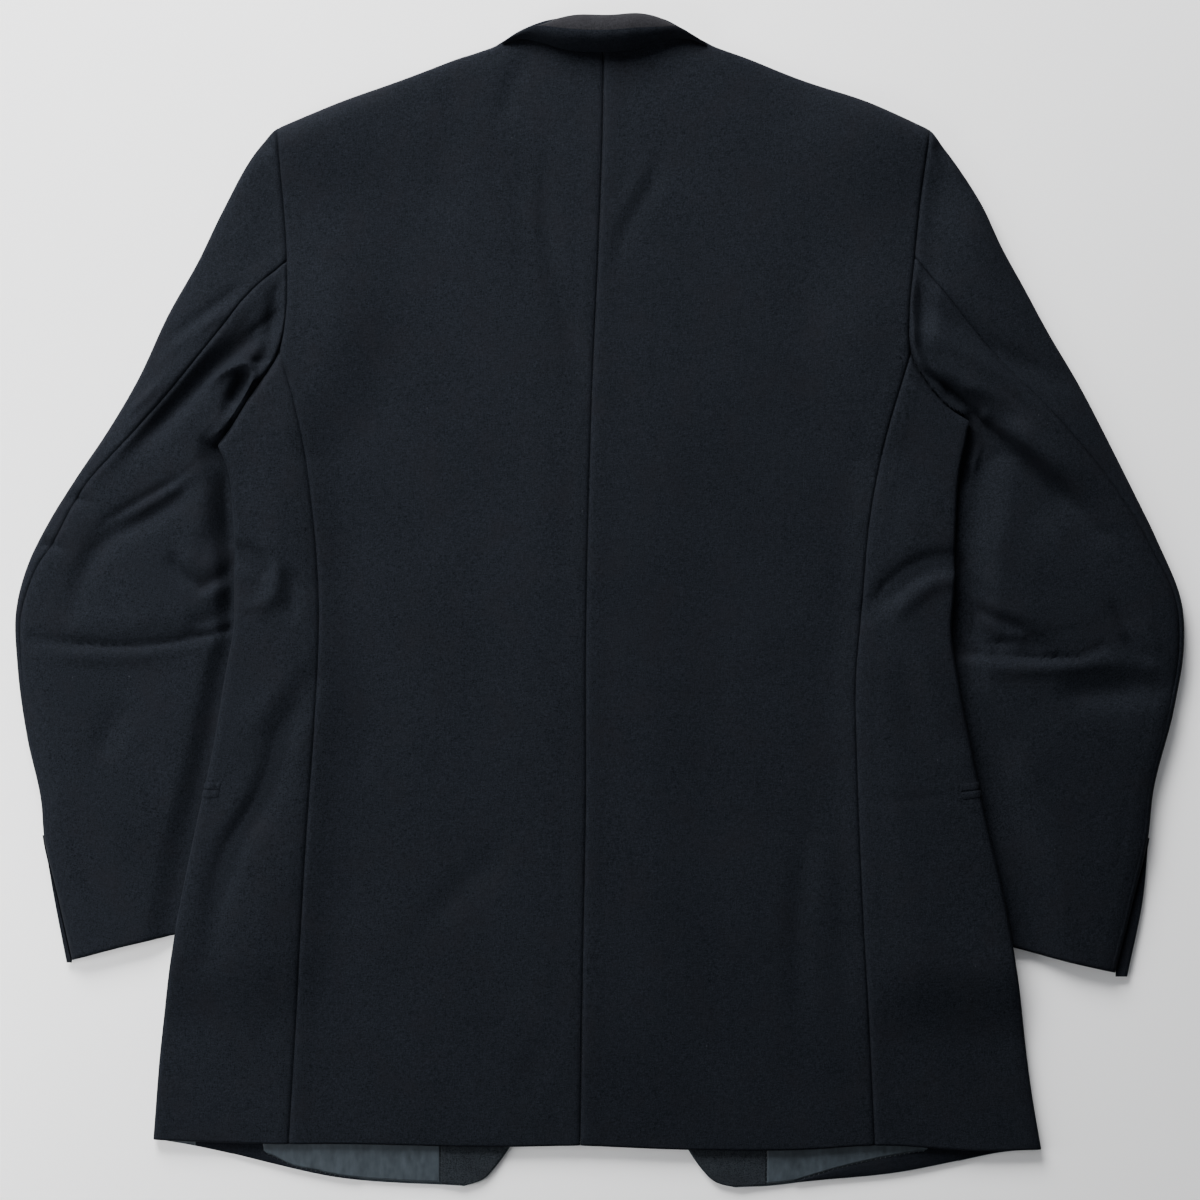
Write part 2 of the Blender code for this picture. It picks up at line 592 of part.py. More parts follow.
def build_front(side, rise):
    """A front, which lies on the ground with its outside down. It gives back its outer grid."""
    edge = side.path["front_edge"]
    seam = side.path["front_seam"].moved(side.sign * GAP / 2)
    meet = side.front_seam_top[1]
    armhole_top = LEFT["armhole"][0][1]
    outer_rows = row_heights(armhole_top, (*ARMHOLE_ROWS, side.seam_top[1], meet, *between(meet)),
                             seam.p[-1][1])
    inner_rows = np.array([edge.p[0][1], *FRONT_ROWS, edge.p[-1][1]])
    rows = np.column_stack([inner_rows, outer_rows])
    left = edge.at(edge.share_at_y(rows[:, 0]))
    right = joined_edge(side, seam, rows[:, 1])
    left[-1], right[-1] = edge.p[-1], seam.p[-1]
    u = np.array(FRONT_SHARES)
    top = side.path["shoulder"].moved(side.sign * GAP / 2).at(u)
    top[0], top[-1] = left[0], right[0]
    low = side.path["front_hem"].at(1 - u)
    low[0], low[-1] = left[-1], right[-1]
    v = (rows[0, 1] - rows[:, 1]) / (rows[0, 1] - rows[-1, 1])
    plan = coons(top, low, left, right, u, v)
    height = body_base(plan[..., 0], plan[..., 1]) + rise(plan[..., 0], plan[..., 1])
    outer = stacked(plan, height)
    wall(f"front_{side.name}", outer, raised(outer, CLOTH), WOOL)
    return outer


def build_lapel(side):
    """The turned lapel and the collar's end beside it, flat on the ground under the front."""
    edge = side.path["front_edge"]
    low = side.table["lapel_out"][-1]
    tip = side.table["lapel_out"][0]
    inset = np.array([side.sign * EDGE_INSET, 0])
    share = np.linspace(0, 1, 11)
    out = side.path["lapel_out"].at(share)
    left = edge.at(edge.share_at_y(GORGE_Y + (low[1] - GORGE_Y) * share)) + inset
    notch = np.array([tip[0] - side.sign * NOTCH[0], tip[1] + NOTCH[1]])
    u = np.linspace(0, 1, 5)
    gorge_line = np.array([left[0], notch, out[0]])
    top = np.column_stack([np.interp(u, (0, 0.75, 1), gorge_line[:, k]) for k in (0, 1)])
    bottom = left[-1] + (out[-1] - left[-1]) * u[:, None]
    plan = coons(top, bottom, left, out, u, share)
    flat = stacked(plan, 0.0)
    wall(f"lapel_{side.name}", flat, raised(flat, LAPEL_WALL), WOOL)

    share = np.linspace(0, 1, 5)
    out = side.path["leaf_out"].at(share)
    high = out[0][1] + LEAF_ABOVE
    left = edge.at(edge.share_at_y(high + (GORGE_Y + LEAF_CLEAR - high) * share)) + inset
    top = left[0] + (out[0] - left[0]) * u[:, None]
    bottom = left[-1] + (out[-1] - left[-1]) * u[:, None]
    plan = coons(top, bottom, left, out, u, share)
    flat = stacked(plan, 0.0)
    wall(f"collar_leaf_{side.name}", flat, raised(flat, LAPEL_WALL), WOOL)


class Sleeve:
    """A sleeve that lies on the ground: a flat loop of cloth in every row from the armhole to the cuff."""

    ROWS = np.array([0, 0.04, 0.085, 0.13, 0.175, 0.22, 0.265, 0.31, 0.355, 0.4, 0.445, 0.49, 0.53, 0.565,
                     0.6, 0.635, 0.69, 0.76, 0.84, 0.92, 1.0])
    GRID = np.linspace(0, 1, 61)
    EDGE_RADIUS = 3.42
    FRONT_SEAM = 26.0
    VENT_EDGE = 5.0
    SEAM_NEAR = 3.0
    CHORD = 22.0
    MOST_UPPER = 5
    LOWEST = 5.2
    HEAD_FULLNESS = 6.5
    ELBOW_LESS = (2.0, 0.45, 0.7)
    CUFF_LESS = (2.3, 0.75, 1.0)
    OUTER_ROUND = (0.0, 34.0)
    INNER_ROUND = (3.0, 36.0)
    FOLDS_START = (2.0, 12.0)
    JOINED_FROM = (26.0, 62.0)
    JOINED_NEAR = (2.0, 46.0)
    JOINED_EDGE = (0.0, 12.0)
    UNDER_BODY = 1.5

    def __init__(self, side):
        self.side = side
        armhole = side.path["armhole"].moved(-side.sign * ARMHOLE_GAP)
        out, inner = side.path["sleeve_out"], side.path["sleeve_in"]
        self.plan = coons(armhole.at(self.GRID), side.path["cuff"].at(self.GRID), out.at(self.ROWS),
                          inner.at(self.ROWS), self.GRID, self.ROWS)

    def top_of(self, x, y):
        """The sleeve's upper outside at each place."""
        side = self.side
        away = side.outside(x, y)
        edge, share, _ = side.path["sleeve_out"].nearest(x, y)
        fullness = self.HEAD_FULLNESS
        for less, start, end in (self.ELBOW_LESS, self.CUFF_LESS):
            fullness = fullness - less * ramp(share, start, end)
        puff = fullness * ramp(edge, *self.OUTER_ROUND) * ramp(away, *self.INNER_ROUND)
        folds = folds_height(SLEEVE_FOLDS[side.name], x, y) * ramp(away, *self.FOLDS_START)
        height = SLEEVE_FLAT + puff + folds
        joined = ramp(y - side.seam_top[1], *self.JOINED_FROM)
        near = (1 - ramp(away, *self.JOINED_NEAR)) * joined * ramp(edge, *self.JOINED_EDGE)
        height = height + (np.maximum(body_top(x, y), SLEEVE_FLAT) - height) * near
        tucked = np.where(joined > 0, np.maximum(height, SLEEVE_FLAT), SLEEVE_FLAT)
        return np.where(away < self.UNDER_BODY, tucked, np.maximum(height, self.LOWEST))

    def place(self, row, distance):
        """Plan places in a row at distances from its outer edge."""
        line = self.plan[row]
        run = np.concatenate([[0], np.cumsum(np.linalg.norm(np.diff(line, axis=0), axis=1))])
        return np.stack([np.interp(distance, run, line[:, k]) for k in (0, 1)], axis=-1), run[-1]

    def seam_distance(self, row):
        """How far from the outer edge a row meets the elbow seam."""
        line = self.plan[row]
        seam = self.side.path["elbow_seam"].p
        d = np.hypot(line[:, None, 0] - seam[None, :, 0], line[:, None, 1] - seam[None, :, 1])
        run = np.concatenate([[0], np.cumsum(np.linalg.norm(np.diff(line, axis=0), axis=1))])
        return run[np.unravel_index(np.argmin(d), d.shape)[0]]

    def seams(self):
        """The elbow seam's distance in every row, which ends by the vent's edge."""
        found = np.array([self.seam_distance(row) for row in range(len(self.ROWS))])
        reached = int(np.argmax(found < self.VENT_EDGE + self.SEAM_NEAR))
        found[reached:] = self.VENT_EDGE
        return np.maximum(found, self.VENT_EDGE)

    def build(self):
        """Both halves of the sleeve."""
        seams = self.seams()
        top_rows, under_rows = [], []
        for row, seam in enumerate(seams):
            _, width = self.place(row, 0.0)
            seam_low = width - self.FRONT_SEAM
            count = int(np.clip(math.ceil((seam - FOLD_RADIUS) / self.CHORD), 1, self.MOST_UPPER))
            upper = np.array([seam - GAP / 2, 0.0])
            if count > 1:
                upper = np.append(np.linspace(upper[0], FOLD_RADIUS, count), 0.0)
            lower = np.append(0.0, np.linspace(FOLD_RADIUS, seam_low - GAP / 2, 7))
            top_rows.append((self.loop(row, upper, lower), self.MOST_UPPER + 1 - len(upper)))
            upper = np.append(np.linspace(seam + GAP / 2, width - FOLD_RADIUS, 10), width)
            lower = np.array([width, width - FOLD_RADIUS, 0.5 * (width + seam_low), seam_low + GAP / 2])
            under_rows.append((self.loop(row, upper, lower), 0))
        for name, rows in (("top_sleeve", top_rows), ("under_sleeve", under_rows)):
            self.make(f"{name}_{self.side.name}", rows)

    def loop(self, row, upper, lower):
        """A folded row at distances from the outer edge."""
        return loop_row(self.place(row, upper)[0], self.place(row, lower)[0], self.EDGE_RADIUS)

    def make(self, name, rows):
        """One half's wall."""
        outer, inner = [], []
        for row, missing in rows:
            blank = np.full((missing, 3), np.nan)
            walls = folded([row], lambda x, y: np.zeros(len(x)), self.top_of)
            for grid, places in zip((outer, inner), walls):
                grid.append(np.vstack([blank, places[0]]))
        wall(name, np.array(outer), np.array(inner), WOOL)


def build_underlap(side):
    """The strip in the cuff's vent, which shows beside the sleeve's outer edge."""
    share = np.linspace(0, 1, 7)
    out = side.path["underlap_out"].at(share)
    edge = side.path["sleeve_out"]
    left = edge.at(edge.share_at_y(out[:, 1])) + np.array([side.sign * 0.35, 0])
    out[:, 0] = side.sign * np.maximum(side.sign * out[:, 0], side.sign * left[:, 0] + 0.8)
    left[:, 1] = out[:, 1]
    plan = np.stack([left, out], axis=1)
    flat = stacked(plan, 0.0)
    wall(f"cuff_underlap_{side.name}", flat, raised(flat, UNDERLAP_WALL), WOOL_DARK)


def build_collar():
    """The collar behind the neck: a stand that leans back to its crest, and the fall that turns over it."""
    share = np.linspace(0, 1, 25)
    base, crest, edge = (Path(p).at(share) for p in (COLLAR_BASE, COLLAR_CREST, COLLAR_EDGE))
    swell = np.sin(np.pi * share) ** COLLAR_SWELL
    low = COLLAR_LOW[0] + (COLLAR_LOW[1] - COLLAR_LOW[0]) * swell
    high = COLLAR_ENDS + (CREST_HEIGHT - COLLAR_ENDS) * swell
    rest = np.minimum(body_top(edge[:, 0], edge[:, 1]) + COLLAR_REST, high - LAPEL_WALL)

    turns = np.radians(STAND_TURNS)
    outer, inner = [], []
    for turn in turns:
        plan = base + (crest - base) * (1 - math.cos(turn))
        z = low + (high - low) * math.sin(turn)
        way = (base - crest) / np.linalg.norm(base - crest, axis=1)[:, None]
        normal = np.column_stack([way * math.cos(turn), np.full(len(plan), math.sin(turn))])
        place = np.column_stack([plan, z])
        outer.append(place)
        inner.append(place - normal * CLOTH)
    wall("collar_stand", np.array(outer), np.array(inner), WOOL)

    turns = np.radians(FALL_TURNS)
    outer, inner = [], []
    for turn in turns:
        way = (edge - crest) / np.linalg.norm(edge - crest, axis=1)[:, None]
        plan = crest + way * GAP + (edge - crest) * math.sin(turn) / math.sin(turns[-1])
        drop = (1 - math.cos(turn)) / (1 - math.cos(turns[-1]))
        z = high - (high - rest) * drop
        normal = np.column_stack([way * math.sin(turn), np.full(len(plan), math.cos(turn))])
        place = np.column_stack([plan, z])
        outer.append(place)
        inner.append(place - normal * CLOTH)
    wall("collar_fall", np.array(outer), np.array(inner), WOOL)


def build_inside(side, rise):
    """What shows of a front's inside below the back's hem: facing, lining and turned-up hem."""
    edge = side.path["front_edge"]
    hem = side.path["front_hem"]
    lining_side, lining_mid = side.table["lining"]
    s = side.sign

    def hem_y(x):
        """The front hem's y at each x."""
        order = np.argsort(hem.p[:, 0])
        return np.interp(x, hem.p[order, 0], hem.p[order, 1])

    def strip(name, plan, colour, roughness):
        """One flat piece on the front's inside."""
        x, y = plan[..., 0], plan[..., 1]
        flat = stacked(plan, body_base(x, y) + rise(x, y) + CLOTH + LIFT)
        wall(f"{name}_{side.name}", raised(flat, TRIM_WALL), flat, colour, roughness)

    v = np.linspace(0, 1, 6)
    rows = INSIDE_TOP + (edge.p[-1][1] - INSIDE_TOP) * v
    right = edge.at(edge.share_at_y(rows)) + np.array([s, 0])
    right[-1] = edge.p[-1] + np.array([s, HEM_INSET])
    seam_x = lining_mid - s * GAP
    seam_low = hem_y(lining_mid) + HEM_INSET
    left = np.column_stack([np.full(len(v), seam_x), INSIDE_TOP + (seam_low - INSIDE_TOP) * v])
    top = left[0] + (right[0] - left[0]) * v[:, None]
    low = left[-1] + (right[-1] - left[-1]) * v[:, None]
    low[:, 1] = hem_y(low[:, 0]) + HEM_INSET
    strip("facing", coons(top, low, left, right, v, v), WOOL, WOOL_ROUGHNESS)

    turn = Path(side.table["turn_up"])
    order = np.argsort(turn.p[:, 0])
    x = np.linspace(lining_side, lining_mid + s * GAP, 10)
    least = hem_y(x) + TURN_UP_INSET + TURN_UP_LEAST + GAP
    tail = np.abs(x) < abs(turn.p[-1][0])
    y = np.where(tail, least, np.maximum(np.interp(x, turn.p[order, 0], turn.p[order, 1]), least)) + GAP
    top = np.column_stack([x, np.full(len(x), INSIDE_TOP)])
    low = np.column_stack([x, y])
    v = np.array([0, 0.5, 1.0])[:, None, None]
    strip("lining", top[None] * (1 - v) + low[None] * v, SATIN, SATIN_ROUGHNESS)

    x = np.linspace(turn.p[0][0], turn.p[-1][0], 9)
    upper = np.interp(x, turn.p[order, 0], turn.p[order, 1]) - GAP
    fold = side.path["side_hem"]
    beyond = np.abs(x) > abs(hem.p[0][0])
    side_order = np.argsort(fold.p[:, 0])
    lower = np.where(beyond, np.interp(x, fold.p[side_order, 0], fold.p[side_order, 1]), hem_y(x))
    lower = lower + TURN_UP_INSET
    upper = np.maximum(upper, lower + TURN_UP_LEAST)
    plan = np.stack([np.column_stack([x, upper]), np.column_stack([x, lower])], axis=0)
    strip("turn_up", plan, WOOL_DARK, WOOL_ROUGHNESS)


def build_jets(side, body, out, front):
    """The pocket's two jets, which go round the side fold; they are made from the panels' own places."""
    first = len(SEAM_ROWS) + 1 + BODY_ROWS.index(POCKET_Y + POCKET_BAND[0])
    front_first = len(front) - len(BODY_ROWS) - 1 + BODY_ROWS.index(POCKET_Y + POCKET_BAND[0])
    lower_out = np.array([0.0, 0.0, -1.0])
    for name, lip in (("upper", 1), ("lower", -1)):
        near, far = lip * JET_GAP / 2, lip * (JET_GAP / 2 + JET_WIDTH)
        outer, inner = [], []
        for shift in (near, 0.5 * (near + far), far):
            t = 0.5 - shift / (2 * POCKET_BAND[0])
            loop = body[first] * (1 - t) + body[first + 1] * t
            way = out[first] * (1 - t) + out[first + 1] * t
            on_front = (front[front_first] * (1 - t) + front[front_first + 1] * t)[::-1][1:JET_FRONT]
            places = np.vstack([loop[JET_START:-1], on_front])
            ways = np.vstack([way[JET_START:-1], np.repeat(lower_out[None], len(on_front), 0)])
            outer.append(places + ways * (LIFT + JET_WALL))
            inner.append(places + ways * LIFT)
        wall(f"pocket_jet_{name}_{side.name}", np.array(outer), np.array(inner), WOOL_DARK)


def build_button(name, y):
    """A front button, flat on the ground under the left front."""
    dish, bevel = 1.2, 0.5
    rings = ((0.0, dish), (BUTTON_RADIUS - 2 * bevel, dish), (BUTTON_RADIUS - 2 * bevel, 0.0),
             (BUTTON_RADIUS, bevel), (BUTTON_RADIUS, BUTTON_WALL - bevel),
             (BUTTON_RADIUS - bevel, BUTTON_WALL), (0.0, BUTTON_WALL))
    count = 16
    turns = 2 * math.pi * np.arange(count) / count
    points = [(0.0, y, rings[0][1])]
    for radius, z in rings[1:-1]:
        points += [(radius * math.cos(turn), y + radius * math.sin(turn), z) for turn in turns]
    points.append((0.0, y, rings[-1][1]))
    last = len(points) - 1
    faces = []
    for k in range(count):
        n = (k + 1) % count
        faces.append((0, 1 + n, 1 + k))
        for ring in range(len(rings) - 3):
            a, b = 1 + ring * count, 1 + (ring + 1) * count
            faces.append((a + k, a + n, b + n, b + k))
        b = 1 + (len(rings) - 3) * count
        faces.append((last, b + k, b + n))
    mesh = bpy.data.meshes.new(name)
    mesh.from_pydata((np.array(points) * MM).tolist(), [], faces)
    mesh.shade_smooth()
    mesh.set_sharp_from_angle(angle=math.radians(40))
    placed(name, mesh, HORN, HORN_ROUGHNESS)


for old in list(bpy.data.objects):
    bpy.data.objects.remove(old)

for one, rise_of in zip(SIDES, (front_rise_left, front_rise_right)):
    build_back(one)
    body_grid, body_out = build_side_body(one)
    front_grid = build_front(one, rise_of)
    build_lapel(one)
    Sleeve(one).build()
    build_underlap(one)
    build_inside(one, rise_of)
    build_jets(one, body_grid, body_out, front_grid)
build_collar()
build_button("front_button_top", BUTTON_PLACES[0])
build_button("front_button_low", BUTTON_PLACES[1])
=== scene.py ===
"""Dresses a suit jacket that lies flat on its front, back up: cloth, seams, creases, lining, stitches, light.

Plan places are in millimetres, as (x, y) from the middle of the jacket: the collar is towards +Y, and the
wearer's left is at -X. Heights are in millimetres above the ground. Finished meshes are in metres.
"""
import logging
import math
from dataclasses import dataclass, field
from enum import Enum
from functools import cache
from typing import Any, Sequence

import bpy
import numpy as np
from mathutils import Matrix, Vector


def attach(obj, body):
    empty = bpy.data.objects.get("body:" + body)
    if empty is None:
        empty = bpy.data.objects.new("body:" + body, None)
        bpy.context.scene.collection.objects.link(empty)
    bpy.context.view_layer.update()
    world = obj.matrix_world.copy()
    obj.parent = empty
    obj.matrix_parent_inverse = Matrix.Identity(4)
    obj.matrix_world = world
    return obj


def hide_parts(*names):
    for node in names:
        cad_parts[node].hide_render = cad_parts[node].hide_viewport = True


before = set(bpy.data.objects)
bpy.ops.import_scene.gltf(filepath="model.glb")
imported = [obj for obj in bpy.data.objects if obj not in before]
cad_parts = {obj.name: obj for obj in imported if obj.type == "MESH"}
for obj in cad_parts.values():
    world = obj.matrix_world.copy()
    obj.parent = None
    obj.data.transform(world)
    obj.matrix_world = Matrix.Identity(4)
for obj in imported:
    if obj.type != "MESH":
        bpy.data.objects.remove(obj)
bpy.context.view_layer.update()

MM = 0.001
SUITING = "suiting_wool"
Array = np.ndarray
Pair = tuple[float, float]
Triple = tuple[float, float, float]
Places = Sequence[Pair]
CutSize = tuple[Pair, float]
Material, Object = bpy.types.Material, bpy.types.Object
log = logging.getLogger("jacket")


# ---------- plan curves ----------

def ramp(value: Array, low: float, high: float) -> Array:
    """A smooth step from 0 at low to 1 at high."""
    t = np.clip((np.asarray(value, float) - low) / (high - low), 0, 1)
    return t * t * (3 - 2 * t)


def rounded(share: Array) -> Array:
    """The height of a quarter circle at a share of its width."""
    return np.sqrt(1 - (1 - np.clip(share, 0, 1)) ** 2)


def unit(ways: Array) -> Array:
    """Directions of length 1."""
    return ways / np.linalg.norm(ways, axis=-1, keepdims=True)


def run_along(points: Array) -> Array:
    """How far each point of a line lies along it."""
    return np.concatenate([[0], np.cumsum(np.linalg.norm(np.diff(points, axis=0), axis=1))])


def around(count: int) -> Array:
    """Evenly spaced angles of a full turn, in radians."""
    return 2 * np.pi * np.arange(count) / count


class Curve:
    """A smooth plan curve through a short table of places, measured along its length."""

    STEPS: int = 9
    CHUNK: int = 6000

    def __init__(self, places: Places) -> None:
        """Args: places: the plan places, in order."""
        p = np.array(places, float)
        knots = run_along(p)
        slopes = np.gradient(p, knots, axis=0) if len(p) > 2 else np.repeat((p[1:] - p[:1]) / knots[1], 2, 0)
        out = [p[:1]]
        for k in range(len(p) - 1):
            h = knots[k + 1] - knots[k]
            t = np.linspace(0, 1, self.STEPS + 1)[1:, None]
            out.append((2 * t**3 - 3 * t**2 + 1) * p[k] + (t**3 - 2 * t**2 + t) * h * slopes[k]
                       + (3 * t**2 - 2 * t**3) * p[k + 1] + (t**3 - t**2) * h * slopes[k + 1])
        self._measure(np.vstack(out))

    def _measure(self, points: Array) -> None:
        """Keeps the curve's points and their shares of its length.

        Args:
            points: places by 2, in order.
        """
        self.p = points
        run = run_along(points)
        self.length = float(run[-1])
        self.s = run / run[-1]

    @classmethod
    def straight(cls, points: Array) -> "Curve":
        """A curve of straight runs.

        Args:
            points: places by 2, in order.

        Returns:
            The curve.
        """
        made = cls.__new__(cls)
        made._measure(points)
        return made

    def at(self, share: Array) -> Array:
        """Places at shares of the length."""
        return np.stack([np.interp(share, self.s, self.p[:, k]) for k in (0, 1)], axis=-1)

    def x_at(self, y: Array) -> Array:
        """The curve's x at each y, for a curve that only runs down."""
        return np.interp(-np.asarray(y, float), -self.p[:, 1], self.p[:, 0])

    def y_at(self, x: Array) -> Array:
        """The curve's y at each x, for a curve that only runs sideways."""
        order = np.argsort(self.p[:, 0])
        return np.interp(x, self.p[order, 0], self.p[order, 1])

    def down(self, y: Array) -> Array:
        """The curve's places at each y, for a curve that only runs down."""
        return self.at(np.interp(-np.asarray(y, float), -self.p[:, 1], self.s))

    def share_of(self, place: Pair) -> float:
        """The share of the length at the place of the curve that is nearest."""
        return float(self.s[np.argmin(np.hypot(*(self.p - np.array(place, float)).T))])

    def nearest(self, x: Array, y: Array) -> tuple[Array, Array, Array]:
        """Where places lie beside the curve.

        Args:
            x, y: the places.

        Returns:
            Their distance from it, their share of its length, and their side: 1 on its left hand.
        """
        shape = np.shape(x)
        x, y = np.ravel(x), np.ravel(y)
        away, share, side = (np.empty(x.size) for _ in range(3))
        start, step = self.p[:-1], np.diff(self.p, axis=0)
        size = (step**2).sum(axis=1)
        for k in range(0, x.size, self.CHUNK):
            part = slice(k, k + self.CHUNK)
            dx, dy = x[part, None] - start[:, 0], y[part, None] - start[:, 1]
            t = np.clip((dx * step[:, 0] + dy * step[:, 1]) / size, 0, 1)
            d2 = (dx - t * step[:, 0]) ** 2 + (dy - t * step[:, 1]) ** 2
            at = np.argmin(d2, axis=1)
            row = np.arange(at.size)
            away[part] = np.sqrt(d2[row, at])
            share[part] = self.s[at] + t[row, at] * (self.s[at + 1] - self.s[at])
            side[part] = np.sign(step[at, 0] * dy[row, at] - step[at, 1] * dx[row, at])
        return away.reshape(shape), share.reshape(shape), side.reshape(shape)

    def moved(self, distance: float) -> "Curve":
        """The curve moved sideways.

        Args:
            distance: how far in millimetres, + to its right hand.

        Returns:
            The new curve.
        """
        run = unit(np.gradient(self.p, axis=0))
        other = Curve.straight(self.p + distance * np.stack([run[:, 1], -run[:, 0]], axis=1))
        other.s = self.s
        return other


def patch(top: Array, bottom: Array, left: Array, right: Array, u: Array, v: Array) -> Array:
    """Plan places of a patch between four edges.

    Args:
        top, bottom: edges that run across, at the shares u.
        left, right: edges that run down, at the shares v.

    Returns:
        A grid of places, rows by columns by 2.
    """
    u, v = u[None, :, None], v[:, None, None]
    across = (1 - u) * left[:, None] + u * right[:, None]
    down = (1 - v) * top[None] + v * bottom[None]
    corner = ((1 - u) * (1 - v) * top[0] + u * (1 - v) * top[-1] + (1 - u) * v * bottom[0]
              + u * v * bottom[-1])
    return across + down - corner


EDGE_STEPS = (0.35, 0.45, 0.6, 0.8, 1.0, 1.3, 1.6, 2.0)


def shares(length: float, step: float, fine_start: bool = True, fine_end: bool = True) -> Array:
    """Shares of a length, closer together at its ends, where seams and hems are.

    Args:
        length: the length in millimetres.
        step: the spacing in its middle.
        fine_start, fine_end: whether the spacing is closer there.

    Returns:
        Rising shares from 0 to 1.
    """
    fine = np.cumsum([s for s in EDGE_STEPS if s < step])
    start = fine if fine_start else np.array([])
    end = length - fine[::-1] if fine_end else np.array([])
    low = start[-1] if fine_start else 0.0
    high = end[0] if fine_end else length
    middle = np.linspace(low, high, max(int(math.ceil((high - low) / step)), 1) + 1)
    inside = middle[1:-1]
    return np.unique(np.concatenate([[0.0], start, inside, end, [length]])) / length


# ---------- the cut ----------

@dataclass(frozen=True)
class Cut:
    """The plan curves of one side of the jacket, from the top down; sign is -1 on the wearer's left."""

    name: str
    sign: int
    neck: Places
    shoulder: Places
    armhole: Places
    side_seam: Places
    side_out: Places
    front_seam: Places
    front_edge: Places
    hem: Places
    side_hem: Places
    front_hem: Places
    sleeve_out: Places
    sleeve_in: Places
    cuff: Places
    elbow_seam: Places
    underlap_out: Places
    lapel_out: Places
    leaf_out: Places
    turn_up: Places
    lining: Pair
    sleeve_grain: float

    @cache
    def curve(self, key: str) -> Curve:
        """The smooth curve of one of the tables."""
        return Curve(getattr(self, key))

    def inward(self, key: str, side: int = 1) -> Curve:
        """A curve moved by half a seam's gap, to the back's and front's side of it or to the other (-1)."""
        return self.curve(key).moved(side * self.sign * FORM.seam_gap / 2)

    @cache
    def border(self) -> Curve:
        """The body's edge: the armhole and then the side fold."""
        return Curve(self.armhole + self.side_out[1:])

    @cache
    def top_line(self) -> Curve:
        """The neck and then the shoulder seam."""
        return Curve(self.neck + self.shoulder[1:])

    @cache
    def lapel_rim(self) -> Curve:
        """The outer edge of the collar's end and of the lapel."""
        return Curve(self.leaf_out[:2] + self.lapel_out)


SHOULDER_Y = 337.0
CENTRE_BACK = ((3, 416), (2, 337), (-1, 251), (-5, 165), (-8, 71), (-10, -36), (-10, -144), (-12, -251),
               (-14, -389))

LEFT = Cut(
    name="left", sign=-1,
    neck=((3, 416), (-22, 415.8), (-37, 414), (-48, 410.5), (-61, 404.2), (-68, 399.5), (-74, 396)),
    shoulder=((-74, 396), (-103, 386), (-137, 373), (-187, 355), (-230, 337)),
    armhole=((-230, 337), (-227, 301), (-223, 243), (-223, 205), (-228, 177), (-249, 145), (-264, 121),
             (-272, 110)),
    side_seam=((-228, 177), (-221, 155), (-213, 122), (-206, 75), (-200, -8), (-203, -89), (-209, -172),
               (-215, -273), (-222, -388)),
    side_out=((-272, 110), (-265, 94), (-261, 62), (-260, 4), (-260, -15), (-266, -51), (-276, -110),
              (-287, -160), (-302, -235), (-313, -312), (-319, -385)),
    front_seam=((-249, 145), (-226, 90), (-208, 20), (-210, -60), (-222, -134), (-240, -230), (-254, -320),
                (-262, -396)),
    front_edge=((-74, 396), (-51, 330), (-24, 220), (0, 118), (17, 40), (18, 0), (18, -120), (9, -200),
                (-20, -300), (-50, -365), (-63, -389), (-72, -402), (-83, -414), (-97, -419)),
    hem=((-14, -389), (-63, -390), (-193, -388), (-222, -388), (-295, -386), (-319, -385)),
    side_hem=((-319, -385), (-290, -390), (-262, -396)),
    front_hem=((-262, -396), (-238, -402), (-187, -413), (-140, -417), (-114, -418), (-97, -419)),
    sleeve_out=((-230, 337), (-243, 323), (-270, 276), (-286, 243), (-308, 204), (-330, 157), (-353, 118),
                (-372, 90), (-395, 53), (-407, 29), (-417, -8), (-416, -46), (-409, -98), (-399, -144),
                (-397, -169), (-388, -208), (-377, -257)),
    sleeve_in=((-272, 110), (-262, 88), (-255, 62), (-243, 22), (-232, -15), (-227, -60), (-230, -140),
               (-246, -225)),
    cuff=((-377, -257), (-339, -247), (-304, -239), (-246, -225)),
    elbow_seam=((-223, 241), (-249, 218), (-272, 189), (-303, 151), (-332, 118), (-367, 80), (-390, 39),
                (-413, 7)),
    underlap_out=((-397.6, -168), (-390.5, -210), (-381, -259)),
    lapel_out=((-124, 280), (-98, 222), (-55, 150), (-15, 90), (10, 44)),
    leaf_out=((-109, 352), (-112, 330), (-107, 300)),
    turn_up=((-289, -388), (-234, -397), (-222, -403), (-201, -408), (-172, -414)),
    lining=(-241, -114),
    sleeve_grain=16.0,
)
